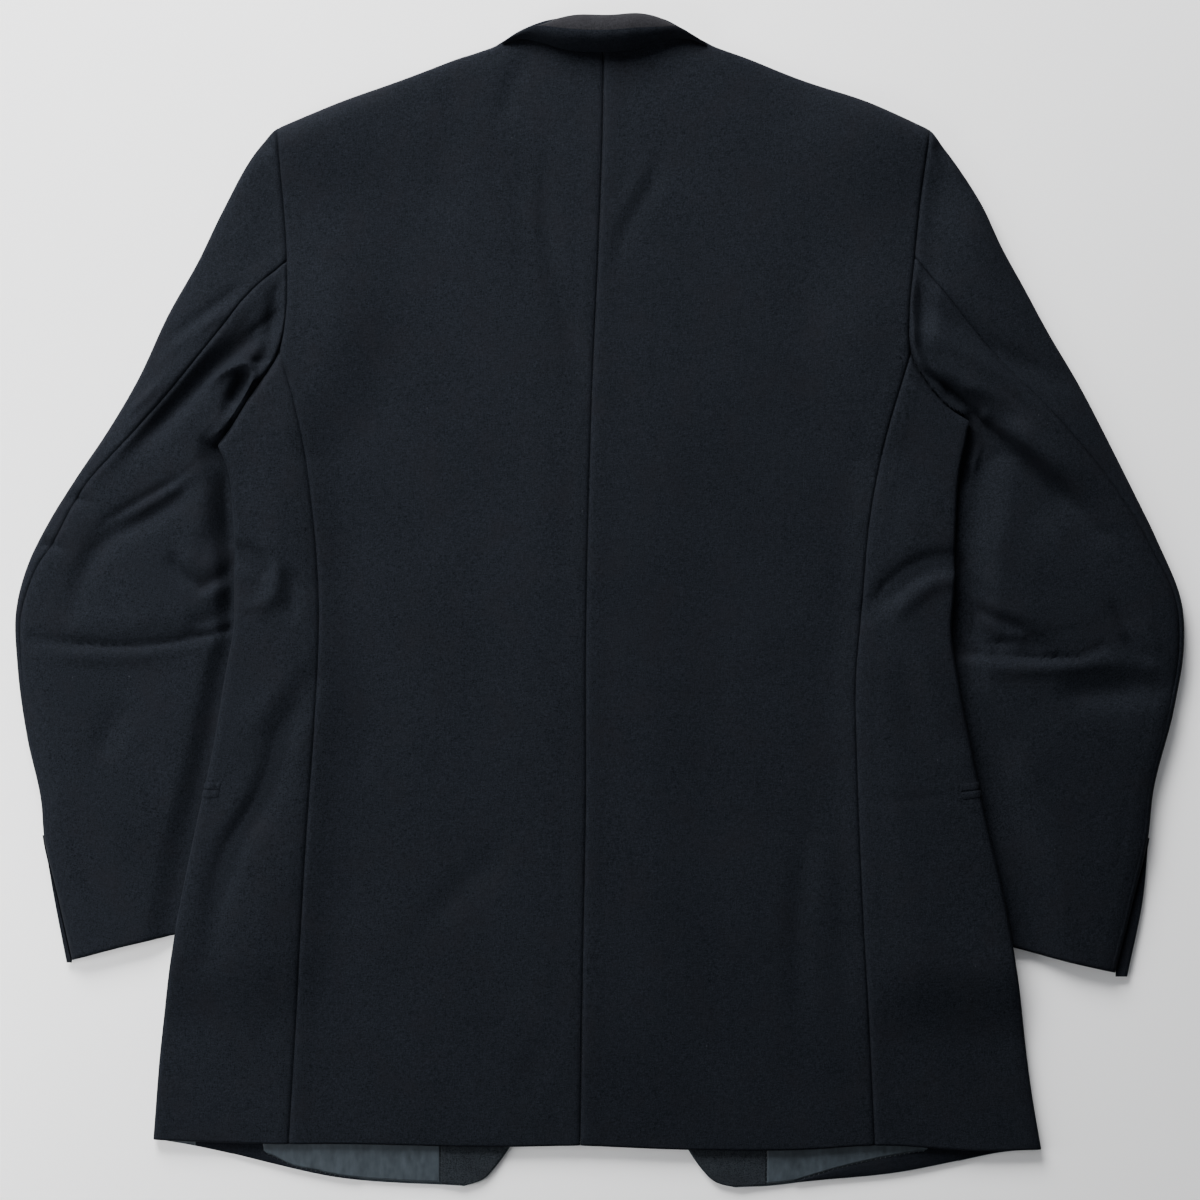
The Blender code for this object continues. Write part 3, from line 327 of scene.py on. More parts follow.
RIGHT = Cut(
    name="right", sign=1,
    neck=((3, 416), (35, 417), (46, 414.6), (57, 409), (73, 399.5), (80, 396)),
    shoulder=((80, 396), (102, 388), (142, 372), (193, 355), (235, 336)),
    armhole=((235, 336), (229, 291), (224, 243), (220, 205), (221, 176), (234, 152), (249, 136), (263, 127)),
    side_seam=((221, 176), (203, 114), (192, 57), (187, 0), (182, -58), (183, -115), (187, -215),
               (193, -323), (196, -389)),
    side_out=((263, 127), (260, 111), (256, 92), (253, 50), (252, 4), (250, -19), (255, -58), (264, -105),
              (273, -150), (287, -210), (298, -273), (309, -357), (315, -392)),
    front_seam=((234, 152), (214, 90), (200, 20), (200, -60), (215, -134), (232, -230), (246, -320),
                (256, -401)),
    front_edge=((80, 396), (54, 330), (26, 220), (1, 118), (-17, 40), (-18, 0), (-18, -120), (-9, -200),
                (20, -300), (50, -368), (63, -393), (71, -405), (82, -416), (97, -420)),
    hem=((-14, -389), (61, -392), (146, -392), (196, -389), (274, -393), (315, -392)),
    side_hem=((315, -392), (285, -395), (256, -401)),
    front_hem=((256, -401), (215, -409), (146, -416), (120, -419), (97, -420)),
    sleeve_out=((235, 336), (254, 311), (273, 281), (286, 253), (302, 224), (321, 189), (340, 157),
                (365, 109), (381, 77), (398, 42), (416, -6), (417, -30), (410, -77), (395, -137),
                (391, -172), (382, -210), (368, -266)),
    sleeve_in=((263, 127), (254, 98), (248, 62), (237, 22), (227, -15), (222, -60), (227, -140),
               (237, -233)),
    cuff=((368, -266), (329, -257), (295, -248), (237, -233)),
    elbow_seam=((224, 244), (250, 212), (283, 172), (327, 126), (365, 81), (397, 28), (414, -24)),
    underlap_out=((391.8, -170), (388, -212), (376.5, -269)),
    lapel_out=((126, 280), (100, 222), (60, 160), (34, 132), (14, 124)),
    leaf_out=((112, 352), (115, 330), (110, 300)),
    turn_up=((290, -392), (235, -393), (203, -398), (169, -406), (139, -415)),
    lining=(235, 119),
    sleeve_grain=-16.0,
)


# ---------- folds ----------

class Profile(Enum):
    """How a fold falls off to its sides."""

    SOFT = "soft"
    PINCHED = "pinched"
    LEDGE = "ledge"


@dataclass(frozen=True)
class Fold:
    """One listed fold or crease: a ridge, or a trough where the height is negative.

    A ledge is soft on its curve's left hand and drops off sharply on its right hand. The ends say what share
    of the height is left at the curve's start and at its end.
    """

    places: Places
    height: float
    width: float
    profile: Profile = Profile.SOFT
    ends: Pair = (0.2, 0.2)

    FADE = 0.35
    PINCH = 2.0
    DROP = 3.5

    def at(self, x: Array, y: Array) -> Array:
        """How far the fold raises the cloth.

        Args:
            x, y: the places.

        Returns:
            The height at each place.
        """
        height = np.zeros(np.shape(x))
        p = np.array(self.places, float)
        reach = self.width * (6.0 if self.profile is Profile.PINCHED else 3.0)
        near = ((x > p[:, 0].min() - reach) & (x < p[:, 0].max() + reach)
                & (y > p[:, 1].min() - reach) & (y < p[:, 1].max() + reach))
        if not near.any():
            return height
        away, share, side = Curve(self.places).nearest(x[near], y[near])
        d = away / self.width
        if self.profile is Profile.SOFT:
            across = np.exp(-(d**2))
        elif self.profile is Profile.PINCHED:
            across = np.exp(1 - np.sqrt(1 + (self.PINCH * d) ** 2))
        else:
            across = np.where(side > 0, np.exp(-(d**2)), np.exp(-((self.DROP * d) ** 2)))
        start, end = (low + (1 - low) * ramp(part, 0.0, self.FADE)
                      for low, part in zip(self.ends, (share, 1 - share)))
        height[near] = self.height * across * start * end
        return height


@dataclass(frozen=True)
class Unevenness:
    """The slight waviness of cloth that lies loose: a seeded lattice of heights joined smoothly."""

    seed: int
    cell: Pair
    height: float
    turn: float = 0.0

    LATTICE = 96

    def at(self, x: Array, y: Array) -> Array:
        """How far the waves raise the cloth.

        Args:
            x, y: the places.

        Returns:
            The height at each place, about zero in the mean.
        """
        lattice = np.random.default_rng(self.seed).uniform(-1, 1, (self.LATTICE, self.LATTICE))
        c, s = math.cos(math.radians(self.turn)), math.sin(math.radians(self.turn))
        a = (x * c + y * s) / self.cell[0] + self.LATTICE / 2
        b = (y * c - x * s) / self.cell[1] + self.LATTICE / 2
        i, j = np.floor(a).astype(int), np.floor(b).astype(int)
        p, q = ramp(a - i, 0, 1), ramp(b - j, 0, 1)
        n = self.LATTICE
        low = lattice[j % n, i % n] * (1 - p) + lattice[j % n, (i + 1) % n] * p
        high = lattice[(j + 1) % n, i % n] * (1 - p) + lattice[(j + 1) % n, (i + 1) % n] * p
        return self.height * (low * (1 - q) + high * q)


def folds(*rows: tuple) -> tuple[Fold, ...]:
    """Folds from rows of places, height, width and what else they need."""
    return tuple(Fold(*row) for row in rows)


def total(parts: Sequence[Fold | Unevenness], x: Array, y: Array) -> Array:
    """The heights of folds or waves together."""
    return sum(part.at(x, y) for part in parts)


SOFT, PINCHED, LEDGE = Profile.SOFT, Profile.PINCHED, Profile.LEDGE

BODY_FOLDS = folds(
    # under the neck, hanging from the collar towards the centre seam
    (((-38, 335), (-39.5, 284), (-36, 243), (-24, 196), (-16.5, 163), (-11, 135)), -1.5, 7.5),
    (((45, 325), (34, 291), (24.5, 276), (15.5, 253), (9, 232)), -1.5, 6.5),
    (((-57.5, 330), (-55, 271), (-52, 215)), -0.9, 8),
    (((-47, 330), (-48, 280), (-44, 235)), 0.7, 6),
    (((36, 318), (24, 290), (12, 268)), 0.8, 7),
    (((-53, 390), (-64, 363), (-70, 335)), -1.3, 7),
    (((-20, 120), (-26, 60), (-24, 0)), -0.6, 12),
    (((-106, 348), (-112, 310), (-110, 266)), -1.2, 14),
    # the left side body
    (((-207, -57), (-216, -78), (-226, -98), (-232, -122), (-242, -145), (-258, -170), (-271, -210),
      (-279, -255)), -4.4, 9.5, SOFT, (0.5, 0.4)),
    (((-240, -120), (-258, -148), (-272, -180)), 1.2, 9),
    (((-222, -50), (-238, -76), (-254, -100)), 1.6, 9),
    (((-260, 33), (-249, 30), (-240, 23), (-241, 12)), -4.8, 7.4, SOFT, (0.9, 0.3)),
    (((-236, 36), (-231, 26), (-229.5, 15), (-232, 4), (-240.5, -4), (-253, -8)), 2.6, 6.0),
    (((-225, 26), (-218, 4), (-222, -18)), -2.4, 6.5),
    (((-260, -9.5), (-249, -10), (-239, -8)), -1.3, 1.9, PINCHED, (0.8, 0.2)),
    (((-236, -190), (-247, -250), (-252, -320)), 0.9, 16),
    # the right side body
    (((254, 27), (238, 25.5), (223, 20), (208, 8), (190, -8)), -5.6, 8.0, SOFT, (0.9, 0.25)),
    (((254, 17), (238, 13), (220, 1), (206, -15)), 2.2, 6.5, SOFT, (0.6, 0.2)),
    (((221, -22), (233, -58), (250, -88), (262, -110)), 2.0, 9),
    (((208, -40), (218, -72), (234, -104)), -1.4, 10),
    (((225, 118), (222, 84), (212, 60)), -0.9, 11),
    (((272, -100), (258, -112), (240, -118)), 0.8, 14),
    (((186, -143), (220, -142), (252, -140)), -0.5, 3.5, PINCHED),
    # the skirt, where the fronts and pockets underneath print through
    (((149, -148), (145, -190), (141, -240), (147, -325)), -1.7, 9),
    (((168, -160), (160, -200), (166, -250)), 0.7, 11),
    (((-62, -164), (-82, -190), (-104, -210), (-134, -242)), -1.5, 11),
    (((-34, -296), (-46, -330), (-56, -366)), -0.9, 10),
    (((-150, -95), (-168, -150), (-176, -210)), 0.7, 24),
    (((150, 60), (158, 10), (150, -50)), 0.6, 28),
    (((-160, 150), (-172, 100), (-170, 40)), 0.6, 26),
)
BODY_UNEVENNESS = (Unevenness(3, (95, 150), 0.5, 8), Unevenness(4, (46, 64), 0.14, -14))

SLEEVE_FOLDS = {
    "left": folds(
        # the long trough from the underarm to the elbow, and the ridge that overhangs it
        (((-228, 201), (-248, 185), (-279, 160), (-292, 147.5), (-307.5, 132), (-323, 116.5),
          (-346, 92)), -7.5, 8.0, SOFT, (0.35, 0.15)),
        (((-365, 80), (-331, 116), (-302, 149), (-271, 187), (-248, 213)), 2.6, 16, LEDGE, (0.2, 0.3)),
        (((-229, 205), (-239, 197), (-252, 187)), -1.2, 2.2, PINCHED, (0.7, 0.2)),
        (((-234, 186), (-250, 175), (-268, 161), (-286, 142)), 1.4, 5.0),
        (((-236, 171), (-248, 169), (-258, 167.5), (-270, 162)), -2.2, 3.2, PINCHED, (0.7, 0.2)),
        # the pouch beside the underarm
        (((-283, 147), (-268, 161.5), (-255, 167), (-248.5, 166), (-246.7, 161), (-247.6, 152),
          (-251, 143), (-254, 136)), 5.4, 3.5, SOFT, (0.1, 0.5)),
        (((-253, 160), (-258, 149), (-264, 136)), -6.0, 5.2, SOFT, (0.8, 0.3)),
        (((-259, 134), (-270, 122), (-279, 108)), 4.0, 6.0),
        # the dark valley beside the side fold
        (((-265, 98), (-262, 78), (-261, 58), (-262, 32)), -5.6, 7.4, SOFT, (0.2, 0.0)),
        (((-290, 94), (-286, 74), (-284, 56), (-285, 36)), 3.0, 8.0),
        # between the underarm and the elbow
        (((-300, 146), (-320, 126), (-348, 94)), 2.0, 8),
        (((-283, 101), (-295, 89), (-310, 80), (-331, 68), (-349, 57.5), (-363, 45)), -2.6, 3.4, PINCHED),
        (((-288, 93), (-303, 78), (-322, 66), (-345, 52)), 2.6, 4.6),
        (((-288, 80), (-307, 68), (-328, 56), (-346, 46), (-358, 35), (-367, 17), (-375, -8)), -4.2, 8.0,
         SOFT, (0.5, 0.3)),
        (((-309, 36), (-298, 20), (-283, 9)), -3.4, 4.5, SOFT, (0.1, 0.7)),
        (((-283, 9), (-271, 15), (-260, 25)), -2.2, 4.8, SOFT, (0.7, 0.3)),
        (((-296, 38), (-282, 24), (-272, 32)), 1.8, 7),
        (((-285, 2), (-272, 7), (-262, 14)), 1.2, 4.5),
        (((-299, -19), (-278, -15), (-262, -4)), -3.2, 7.6, SOFT, (0.1, 0.7)),
        (((-405, -28), (-375, -31), (-328, -32.5), (-281, -25), (-262, -20)), -3.8, 3.6, PINCHED,
         (0.4, 0.9)),
        # soft creases across the sleeve's outer half
        (((-318, 176), (-292, 195), (-262, 217), (-240, 232)), -1.5, 4.5),
        (((-312, 170), (-288, 189), (-258, 210)), 1.2, 4.5),
        (((-338, 131), (-322, 144), (-309, 157)), 1.8, 3.6),
        # beside the elbow's crease, on the elbow seam, and along the sleeve
        (((-398, -38), (-340, -39), (-290, -33)), 2.2, 6.5),
        (((-400, -14), (-350, -18), (-300, -10)), 1.6, 11),
        (((-384, 73), (-369, 71.5), (-358, 66)), -3.0, 3.4, PINCHED),
        (((-404, 38), (-389, 39), (-378, 34)), -3.0, 3.4, PINCHED),
        (((-337, -70), (-345, -88), (-358, -117)), -2.2, 9),
        (((-372, -150), (-350, -160), (-330, -190)), 0.8, 22),
        (((-262, -70), (-268, -120), (-278, -170)), -0.8, 13),
        (((-262, 300), (-275, 268), (-296, 236)), 0.8, 12),
    ),
    "right": folds(
        # the soft dent and ridge by the armhole
        (((226, 213), (243, 206), (272, 183), (302, 165), (328, 155)), -4.2, 9.0, SOFT, (0.2, 0.3)),
        (((221, 190), (243, 184), (270, 170), (298, 149), (328, 122), (352, 98)), 3.4, 8.0, SOFT, (0.6, 0.2)),
        # the deep trough, the ridge that overhangs it, and the low cloth below
        (((227, 163), (243, 154), (255, 145), (268, 133)), -5.2, 3.3, SOFT, (0.8, 0.9)),
        (((250, 146), (266, 131), (276, 121), (298, 103), (327, 77), (354, 46)), -7.5, 8.0, SOFT, (0.6, 0.2)),
        (((229, 165), (245, 157), (257, 148), (270, 136), (279, 127), (301, 111), (330, 84), (353, 57)),
         8.5, 17, LEDGE, (0.35, 0.15)),
        (((274, 108), (301, 78), (334, 46)), -5.0, 19, SOFT, (0.8, 0.2)),
        # the flap and the small hole by the side edge
        (((273, 131), (272.5, 118), (269, 104), (262, 84)), 2.8, 3.4, SOFT, (0.7, 0.3)),
        (((259.5, 97), (260, 89), (259, 81)), -6.0, 3.6),
        # the dark valley beside the side fold, and the creases that run from it to the elbow
        (((258, 22), (262, 6), (270, -10), (284, -26)), -4.4, 9, SOFT, (0.5, 0.7)),
        (((256, 0), (281, -13), (303, -24), (311, -33)), -2.6, 3.4, PINCHED, (0.7, 0.4)),
        (((262, 6), (281, -5), (306, -16), (316, -28)), 1.6, 4.6, SOFT, (0.2, 0.3)),
        (((254, -14), (266, -21), (284, -31)), -4.0, 7.0, SOFT, (0.9, 0.4)),
        (((268, 22), (290, 2), (312, -18)), 2.0, 7),
        (((252, -36.5), (289, -40), (325, -41.5), (342, -40.5), (358, -33)), -4.0, 3.6, PINCHED, (0.9, 0.3)),
        (((258, -30), (290, -33), (325, -35)), -2.6, 6.0, SOFT, (0.9, 0.2)),
        (((258, -47), (310, -48.5), (360, -44), (392, -46)), 2.4, 6.0),
        (((361, 0), (369, -11), (377, -21)), -2.4, 3.4),
        (((371, -18), (380, -34), (397, -46)), -2.6, 4.0),
        (((384, -8), (392, -26), (402, -40)), 1.4, 5),
        # below the elbow, and along the sleeve
        (((318, -68), (360, -66), (398, -62)), -4.2, 11, SOFT, (0.2, 0.6)),
        (((300, -90), (330, -120), (344, -165)), 0.8, 24),
        (((268, -80), (276, -130), (288, -190)), -0.8, 13),
        (((262, 296), (276, 266), (298, 232)), 0.8, 12),
    ),
}
SLEEVE_UNEVENNESS = (Unevenness(11, (70, 90), 0.5, 30), Unevenness(12, (30, 42), 0.2, -20))
# where the sleeve starts to rise beside the side fold and where it is at its full height: (y, start, end)
SLEEVE_RISE = {
    "left": ((-250, 4, 24), (-130, 4, 24), (-40, 2, 17), (8, 1, 14), (35, 2, 17), (92, 2, 18), (108, 1, 16),
             (400, 1, 16)),
    "right": ((-250, 12, 40), (-150, 15, 44), (-100, 14, 40), (-62, 6, 24), (-20, 6, 30), (40, 8, 34),
              (62, 10, 40), (128, 12, 44), (150, 3, 24), (400, 2, 20)),
}
SLEEVE_RISE_WAVE = Unevenness(41, (200.0, 26.0), 3.5)
# creases of the sleeves' hidden side, lifted from the ground
UNDERSIDE_FOLDS = {
    "left": folds(
        (((-300, 150), (-330, 110), (-352, 62)), 1.0, 7),
        (((-282, 60), (-320, 30), (-372, 24)), 1.2, 5),
        (((-288, -34), (-340, -44), (-388, -40)), 1.3, 5),
        (((-300, -100), (-330, -150)), 0.7, 11),
    ),
    "right": folds(
        (((296, 152), (322, 118), (350, 70)), 1.0, 7),
        (((276, 48), (318, 22), (366, 30)), 1.1, 5),
        (((284, -42), (332, -50), (384, -38)), 1.3, 5),
        (((302, -110), (322, -160)), 0.7, 11),
    ),
}
# creases of the fronts' hidden side, lifted from the ground
FRONT_FOLDS = {
    "left": folds(
        (((-150, 250), (-166, 190), (-160, 120)), 0.9, 9),
        (((-190, 60), (-150, 36), (-100, 44)), 0.8, 8),
        (((-60, -180), (-92, -232), (-104, -290)), 0.8, 12),
        (((-186, -210), (-204, -290)), 0.7, 13),
    ),
    "right": folds(
        (((152, 240), (160, 170), (150, 110)), 0.9, 10),
        (((184, 40), (146, 16), (96, 30)), 0.8, 8),
        (((70, -170), (96, -236), (92, -300)), 0.8, 12),
        (((182, -220), (206, -296)), 0.7, 13),
    ),
}


# ---------- the form ----------

@dataclass(frozen=True)
class Form:
    """The heights that the laid jacket's pieces share, in millimetres.

    Most of the pairs say where a change of height begins and where it is complete.
    """

    cloth: float = 2.0
    gap: float = 0.4
    seam_gap: float = 0.08
    armhole_gap: float = 0.2
    lift: float = 0.3
    lapel: float = 1.5
    trim: float = 1.2
    jet: float = 1.0
    fold_radius: float = 3.8
    sleeve_flat: float = 6.8
    sleeve_rise: float = 7.4
    least_tuck: float = 20.0
    tuck_fade: Pair = (8.0, 64.0)
    tuck_above_seam: Pair = (5.0, 120.0)
    tuck_above_cuff: Pair = (-70.0, -8.0)
    tuck_from_middle: float = 60.0
    depth: float = 7.5
    edge_depth: float = 4.6
    pad: float = 8.0
    pad_reach: Pair = (62.0, 52.0)
    pad_share: float = 0.86
    pad_drop: float = 8.0
    centre_rise: float = 2.6
    centre_fade: Pair = (30.0, 90.0)
    centre_top: Pair = (90.0, 200.0)
    centre_low: Pair = (-400.0, -300.0)
    shoulder_round: float = 16.0
    armhole_round: float = 7.0
    underarm: Pair = (-0.12, 0.05)
    underarm_below: float = 4.0
    button_rise: float = 2.7
    button_radius: float = 10.0
    button_places: Pair = (20.0, -90.0)
    pocket_y: float = -134.5
    pocket_fade: Pair = (8.0, 20.0)
    pocket_start: Pair = (106.0, 122.0)
    seam_dip: float = 1.45
    seam_reach: float = 1.3
    seam_power: float = 1.25
    allowance: float = 0.4
    allowance_end: Pair = (9.0, 14.0)
    pucker: float = 0.12
    pucker_reach: float = 4.0
    pucker_pitch: Pair = (5.3, 31.0)
    lapel_fade: Pair = (-48.0, -26.0)
    lapel_low: Pair = (-40.0, -16.0)
    lapel_high: Pair = (1.0, 9.0)
    button_fade: Pair = (4.0, 22.0)
    button_low: Pair = (-36.0, -14.0)
    button_high: Pair = (42.0, 110.0)
    overlap_fade: Pair = (14.0, 38.0)
    overlap_high: Pair = (140.0, 200.0)
    overlap_past: float = 2.0

    def outside(self, cut: Cut, x: Array, y: Array) -> Array:
        """Distance beyond the body's armhole and side fold, negative inside the body."""
        away, _, hand = cut.border().nearest(x, y)
        return cut.sign * hand * away

    def over_sleeve(self, cut: Cut, x: Array, y: Array) -> Array:
        """How far the body is raised where the sleeve's inner edge lies under it.

        Args:
            cut: the side.
            x, y: the places.

        Returns:
            The height at each place.
        """
        tuck = np.abs(cut.curve("side_out").x_at(y) - cut.curve("sleeve_in").x_at(y))
        least = self.least_tuck
        depth = np.where(y > cut.side_out[0][1], least, np.maximum(tuck, least))
        over = 1 - ramp(-self.outside(cut, x, y) - depth, *self.tuck_fade)
        along = 1 - ramp(y - cut.side_seam[0][1], *self.tuck_above_seam)
        along = along * ramp(y - cut.cuff[2][1], *self.tuck_above_cuff)
        return self.sleeve_rise * over * along * np.where(cut.sign * x > self.tuck_from_middle, 1.0, 0.0)

    def base(self, x: Array, y: Array) -> Array:
        """The lower outside of the body.

        Args:
            x, y: the places.

        Returns:
            The height at each place.
        """
        across = 1 - ramp(np.abs(y - self.pocket_y), *self.pocket_fade)
        rise = (self.jet + self.lift) * across * ramp(np.abs(x), *self.pocket_start)
        return rise + sum(self.over_sleeve(cut, x, y) for cut in (LEFT, RIGHT))

    def pad_swell(self, cut: Cut, x: Array, y: Array) -> Array:
        """The shoulder pad's swell.

        Args:
            cut: the side.
            x, y: the places.

        Returns:
            The height at each place.
        """
        px, py = cut.curve("shoulder").at(self.pad_share)
        across, down = (x - px) / self.pad_reach[0], (y - py + self.pad_drop) / self.pad_reach[1]
        return self.pad * np.exp(-(across**2) - down**2)

    def top(self, x: Array, y: Array) -> Array:
        """The upper outside of the body, with its folds but without its seams.

        Args:
            x, y: the places.

        Returns:
            The height at each place.
        """
        base = sum(self.over_sleeve(cut, x, y) for cut in (LEFT, RIGHT))
        depth = self.depth + total(BODY_FOLDS, x, y) + total(BODY_UNEVENNESS, x, y)
        centre = (1 - ramp(np.abs(x), *self.centre_fade)) * (1 - ramp(y, *self.centre_top))
        centre = centre * ramp(y, *self.centre_low)
        depth = depth + self.centre_rise * centre + sum(self.pad_swell(cut, x, y) for cut in (LEFT, RIGHT))
        for cut in (LEFT, RIGHT):
            away, _, _ = cut.top_line().nearest(x, y)
            own_half = cut.sign * (x - CENTRE_BACK[0][0]) >= 0
            share = np.where(own_half, rounded(away / self.shoulder_round), 1.0)
            depth = self.edge_depth + (depth - self.edge_depth) * share
            armhole = cut.curve("armhole")
            away, share, _ = armhole.nearest(x, y)
            low = ramp(share - armhole.share_of(cut.side_seam[0]), *self.underarm)
            low = low * np.where(y > cut.side_out[0][1] - self.underarm_below, 1.0, 0.0)
            fall = 1 - rounded(away / self.armhole_round)
            depth = depth - low * (depth - self.edge_depth - self.gap) * fall
        return base + np.maximum(depth, self.edge_depth)

    def roll(self, away: Array, along: Array, dip: Array | float = 1.0, pressed_open: bool = True) -> Array:
        """How the cloth rolls down into a seam and rises over its allowance.

        Args:
            away: the distance from the seam.
            along: the distance along it.
            dip: the depth of the roll, as a share of the usual one.
            pressed_open: whether the allowance is pressed open under both sides.

        Returns:
            The change of height at each place.
        """
        down = -self.seam_dip * dip * np.exp(-((away / self.seam_reach) ** self.seam_power))
        short, long = self.pucker_pitch
        wave = np.sin(along / short + 2 * np.sin(along / long))
        pucker = self.pucker * wave * np.exp(-((away / self.pucker_reach) ** 2))
        ridge = self.allowance * (1 - ramp(away, *self.allowance_end)) if pressed_open else 0.0
        return down + pucker + ridge

    def seam(self, curve: Curve, x: Array, y: Array, dip: float = 1.0, pressed_open: bool = True) -> Array:
        """The roll of the cloth by a seam's curve."""
        away, share, _ = curve.nearest(x, y)
        return self.roll(away, share * curve.length, dip, pressed_open)

    def hem_roll(self, curve: Curve, x: Array, y: Array, reach: float = 2.2, drop: float = 1.4) -> Array:
        """How a turned hem rounds down at its edge."""
        away, _, _ = curve.nearest(x, y)
        return -drop * (1 - rounded(away / reach))

    def lapel_rise(self, cut: Cut, x: Array, y: Array) -> Array:
        """A front's rise over its own lapel and collar end.

        Args:
            cut: the side.
            x, y: the places.

        Returns:
            The height at each place.
        """
        away, _, hand = cut.lapel_rim().nearest(x, y)
        above = y - cut.lapel_out[-1][1]
        clear, _, _ = cut.curve("shoulder").nearest(x, y)
        rise = (self.lapel + self.lift) * ramp(away * hand * -cut.sign, *self.lapel_fade)
        return rise * ramp(above, *self.lapel_low) * ramp(clear, *self.lapel_high)

    def on_front(self, cut: Cut, x: Array, y: Array) -> Array:
        """The height at which trims lie on a front's inside."""
        return self.base(x, y) + self.front_rise(cut, x, y) + self.cloth + self.lift

    def front_rise(self, cut: Cut, x: Array, y: Array) -> Array:
        """The height of a front's outside over the ground or the body's lower outside.

        Args:
            cut: the side.
            x, y: the places.

        Returns:
            The height at each place.
        """
        near = 1 - ramp(np.abs(x) - self.button_radius, *self.button_fade)
        if cut is LEFT:
            strip = near * ramp(y - self.button_places[1], *self.button_low)
            strip = strip * (1 - ramp(y, *self.button_high))
            return np.maximum(self.lapel_rise(LEFT, x, y), self.button_rise * strip)
        edge = LEFT.curve("front_edge")
        over = (1 - ramp(x - edge.x_at(y), *self.overlap_fade)) * (1 - ramp(y, *self.overlap_high))
        under = self.front_rise(LEFT, np.minimum(x, edge.x_at(y) + self.overlap_past), y)
        return np.maximum(self.lapel_rise(RIGHT, x, y), (under + self.cloth + self.lift) * over)


FORM = Form()


# ---------- meshes ----------

def raised(plan: Array, height: Array | float) -> Array:
    """A plan grid with heights."""
    return np.concatenate([plan, np.broadcast_to(height, plan.shape[:-1])[..., None]], axis=-1)


def linked(name: str, data: bpy.types.ID) -> Object:
    """Puts a new object in the scene.

    Args:
        name: its name.
        data: its mesh, lamp or camera.

    Returns:
        The object.
    """
    thing = bpy.data.objects.new(name, data)
    bpy.context.scene.collection.objects.link(thing)
    return thing


def bands(rings: Array) -> Array:
    """The faces between closed rings of points: rings by points, to faces by 4."""
    after = np.roll(rings, -1, axis=1)
    return np.stack([rings[:-1], rings[1:], after[1:], after[:-1]], axis=-1).reshape(-1, 4)


def made_mesh(name: str, points: Array, faces: list[Array], materials: Sequence[Material],
              slots: Sequence[int], sharp: float = 50.0) -> Object:
    """Links an object of joined faces.

    Args:
        name: the piece's name.
        points: places in millimetres, by 3.
        faces: arrays of faces, one for each part of the surface.
        materials: the piece's materials.
        slots: the material's index for each array of faces.
        sharp: edges sharper than this angle in degrees stay sharp.

    Returns:
        The object.
    """
    mesh = bpy.data.meshes.new(name)
    mesh.from_pydata((points * MM).tolist(), [], [face for part in faces for face in part.tolist()])
    index = np.concatenate([np.full(len(part), slot) for part, slot in zip(faces, slots)])
    for material in materials:
        mesh.materials.append(material)
    mesh.polygons.foreach_set("material_index", index.astype(np.int32))
    mesh.shade_smooth()
    mesh.set_sharp_from_angle(angle=math.radians(sharp))
    mesh.update()
    return linked(name, mesh)


def shell(name: str, outer: Array, inner: Array, cloth: Material,
          inside: Material | None = None) -> Object:
    """A thin closed shell of cloth between two grids of places.

    Args:
        name: the piece's name.
        outer, inner: rows by columns by 3, in millimetres.
        cloth: the finish of the outside and the rim.
        inside: the finish of the inside, where it differs.

    Returns:
        The object.
    """
    rows, columns = outer.shape[:2]
    count = rows * columns
    k = np.arange(count).reshape(rows, columns)
    quads = np.stack([k[:-1, :-1], k[:-1, 1:], k[1:, 1:], k[1:, :-1]], axis=-1).reshape(-1, 4)
    ring = np.concatenate([k[0, :-1], k[:-1, -1], k[-1, :0:-1], k[:0:-1, 0]])
    after = np.roll(ring, -1)
    rim = np.stack([after, ring, ring + count, after + count], axis=-1)
    points = np.concatenate([outer.reshape(-1, 3), inner.reshape(-1, 3)])
    middle = k[rows // 2, columns // 2]
    way = np.cross(points[middle + 1] - points[middle], points[middle + columns] - points[middle])
    faces = [quads, quads[:, ::-1] + count, rim]
    if np.dot(way, points[middle] - points[middle + count]) < 0:
        faces = [part[:, ::-1] for part in faces]
    materials = [cloth] if inside is None else [cloth, inside]
    return made_mesh(name, points, faces, materials, (0, 0 if inside is None else 1, 0))


def turned(upper: Array, lower: Array, radius: float, angles: Array) -> tuple[Array, Array, Array]:
    """Rows of cloth that turn round a fold, from the upper layer to the lower one.

    Args:
        upper: rows by columns by 2, towards the fold.
        lower: rows by columns by 2, away from it, which starts on the fold's own place.
        radius: how far from its edge the fold starts to turn.
        angles: angles round the fold in radians, falling.

    Returns:
        The plan places, the way out of the cloth at each, and the angle of each column.
    """
    tip = upper[:, -1:]
    way_in, way_back = unit(upper[:, -2:-1] - tip), unit(lower[:, 1:2] - lower[:, :1])
    turn = angles[None, :, None]
    way = np.where(turn >= 0, way_in, way_back)
    plan = np.concatenate([upper[:, :-1], tip + way * radius * (1 - np.cos(turn)), lower[:, 1:]], axis=1)
    before, after = upper.shape[1] - 1, lower.shape[1] - 1
    angle = np.concatenate([np.full(before, math.pi / 2), angles, np.full(after, -math.pi / 2)])
    out = np.concatenate([np.repeat(-way_in, before, 1), -way, np.repeat(-way_back, after, 1)], axis=1)
    normal = np.concatenate([np.cos(angle)[None, :, None] * out,
                             np.broadcast_to(np.sin(angle)[None, :, None], out.shape[:2] + (1,))], axis=-1)
    return plan, normal, angle


FOLD_ANGLES = np.radians(np.arange(75, -76, -15.0))


# ---------- finishes ----------

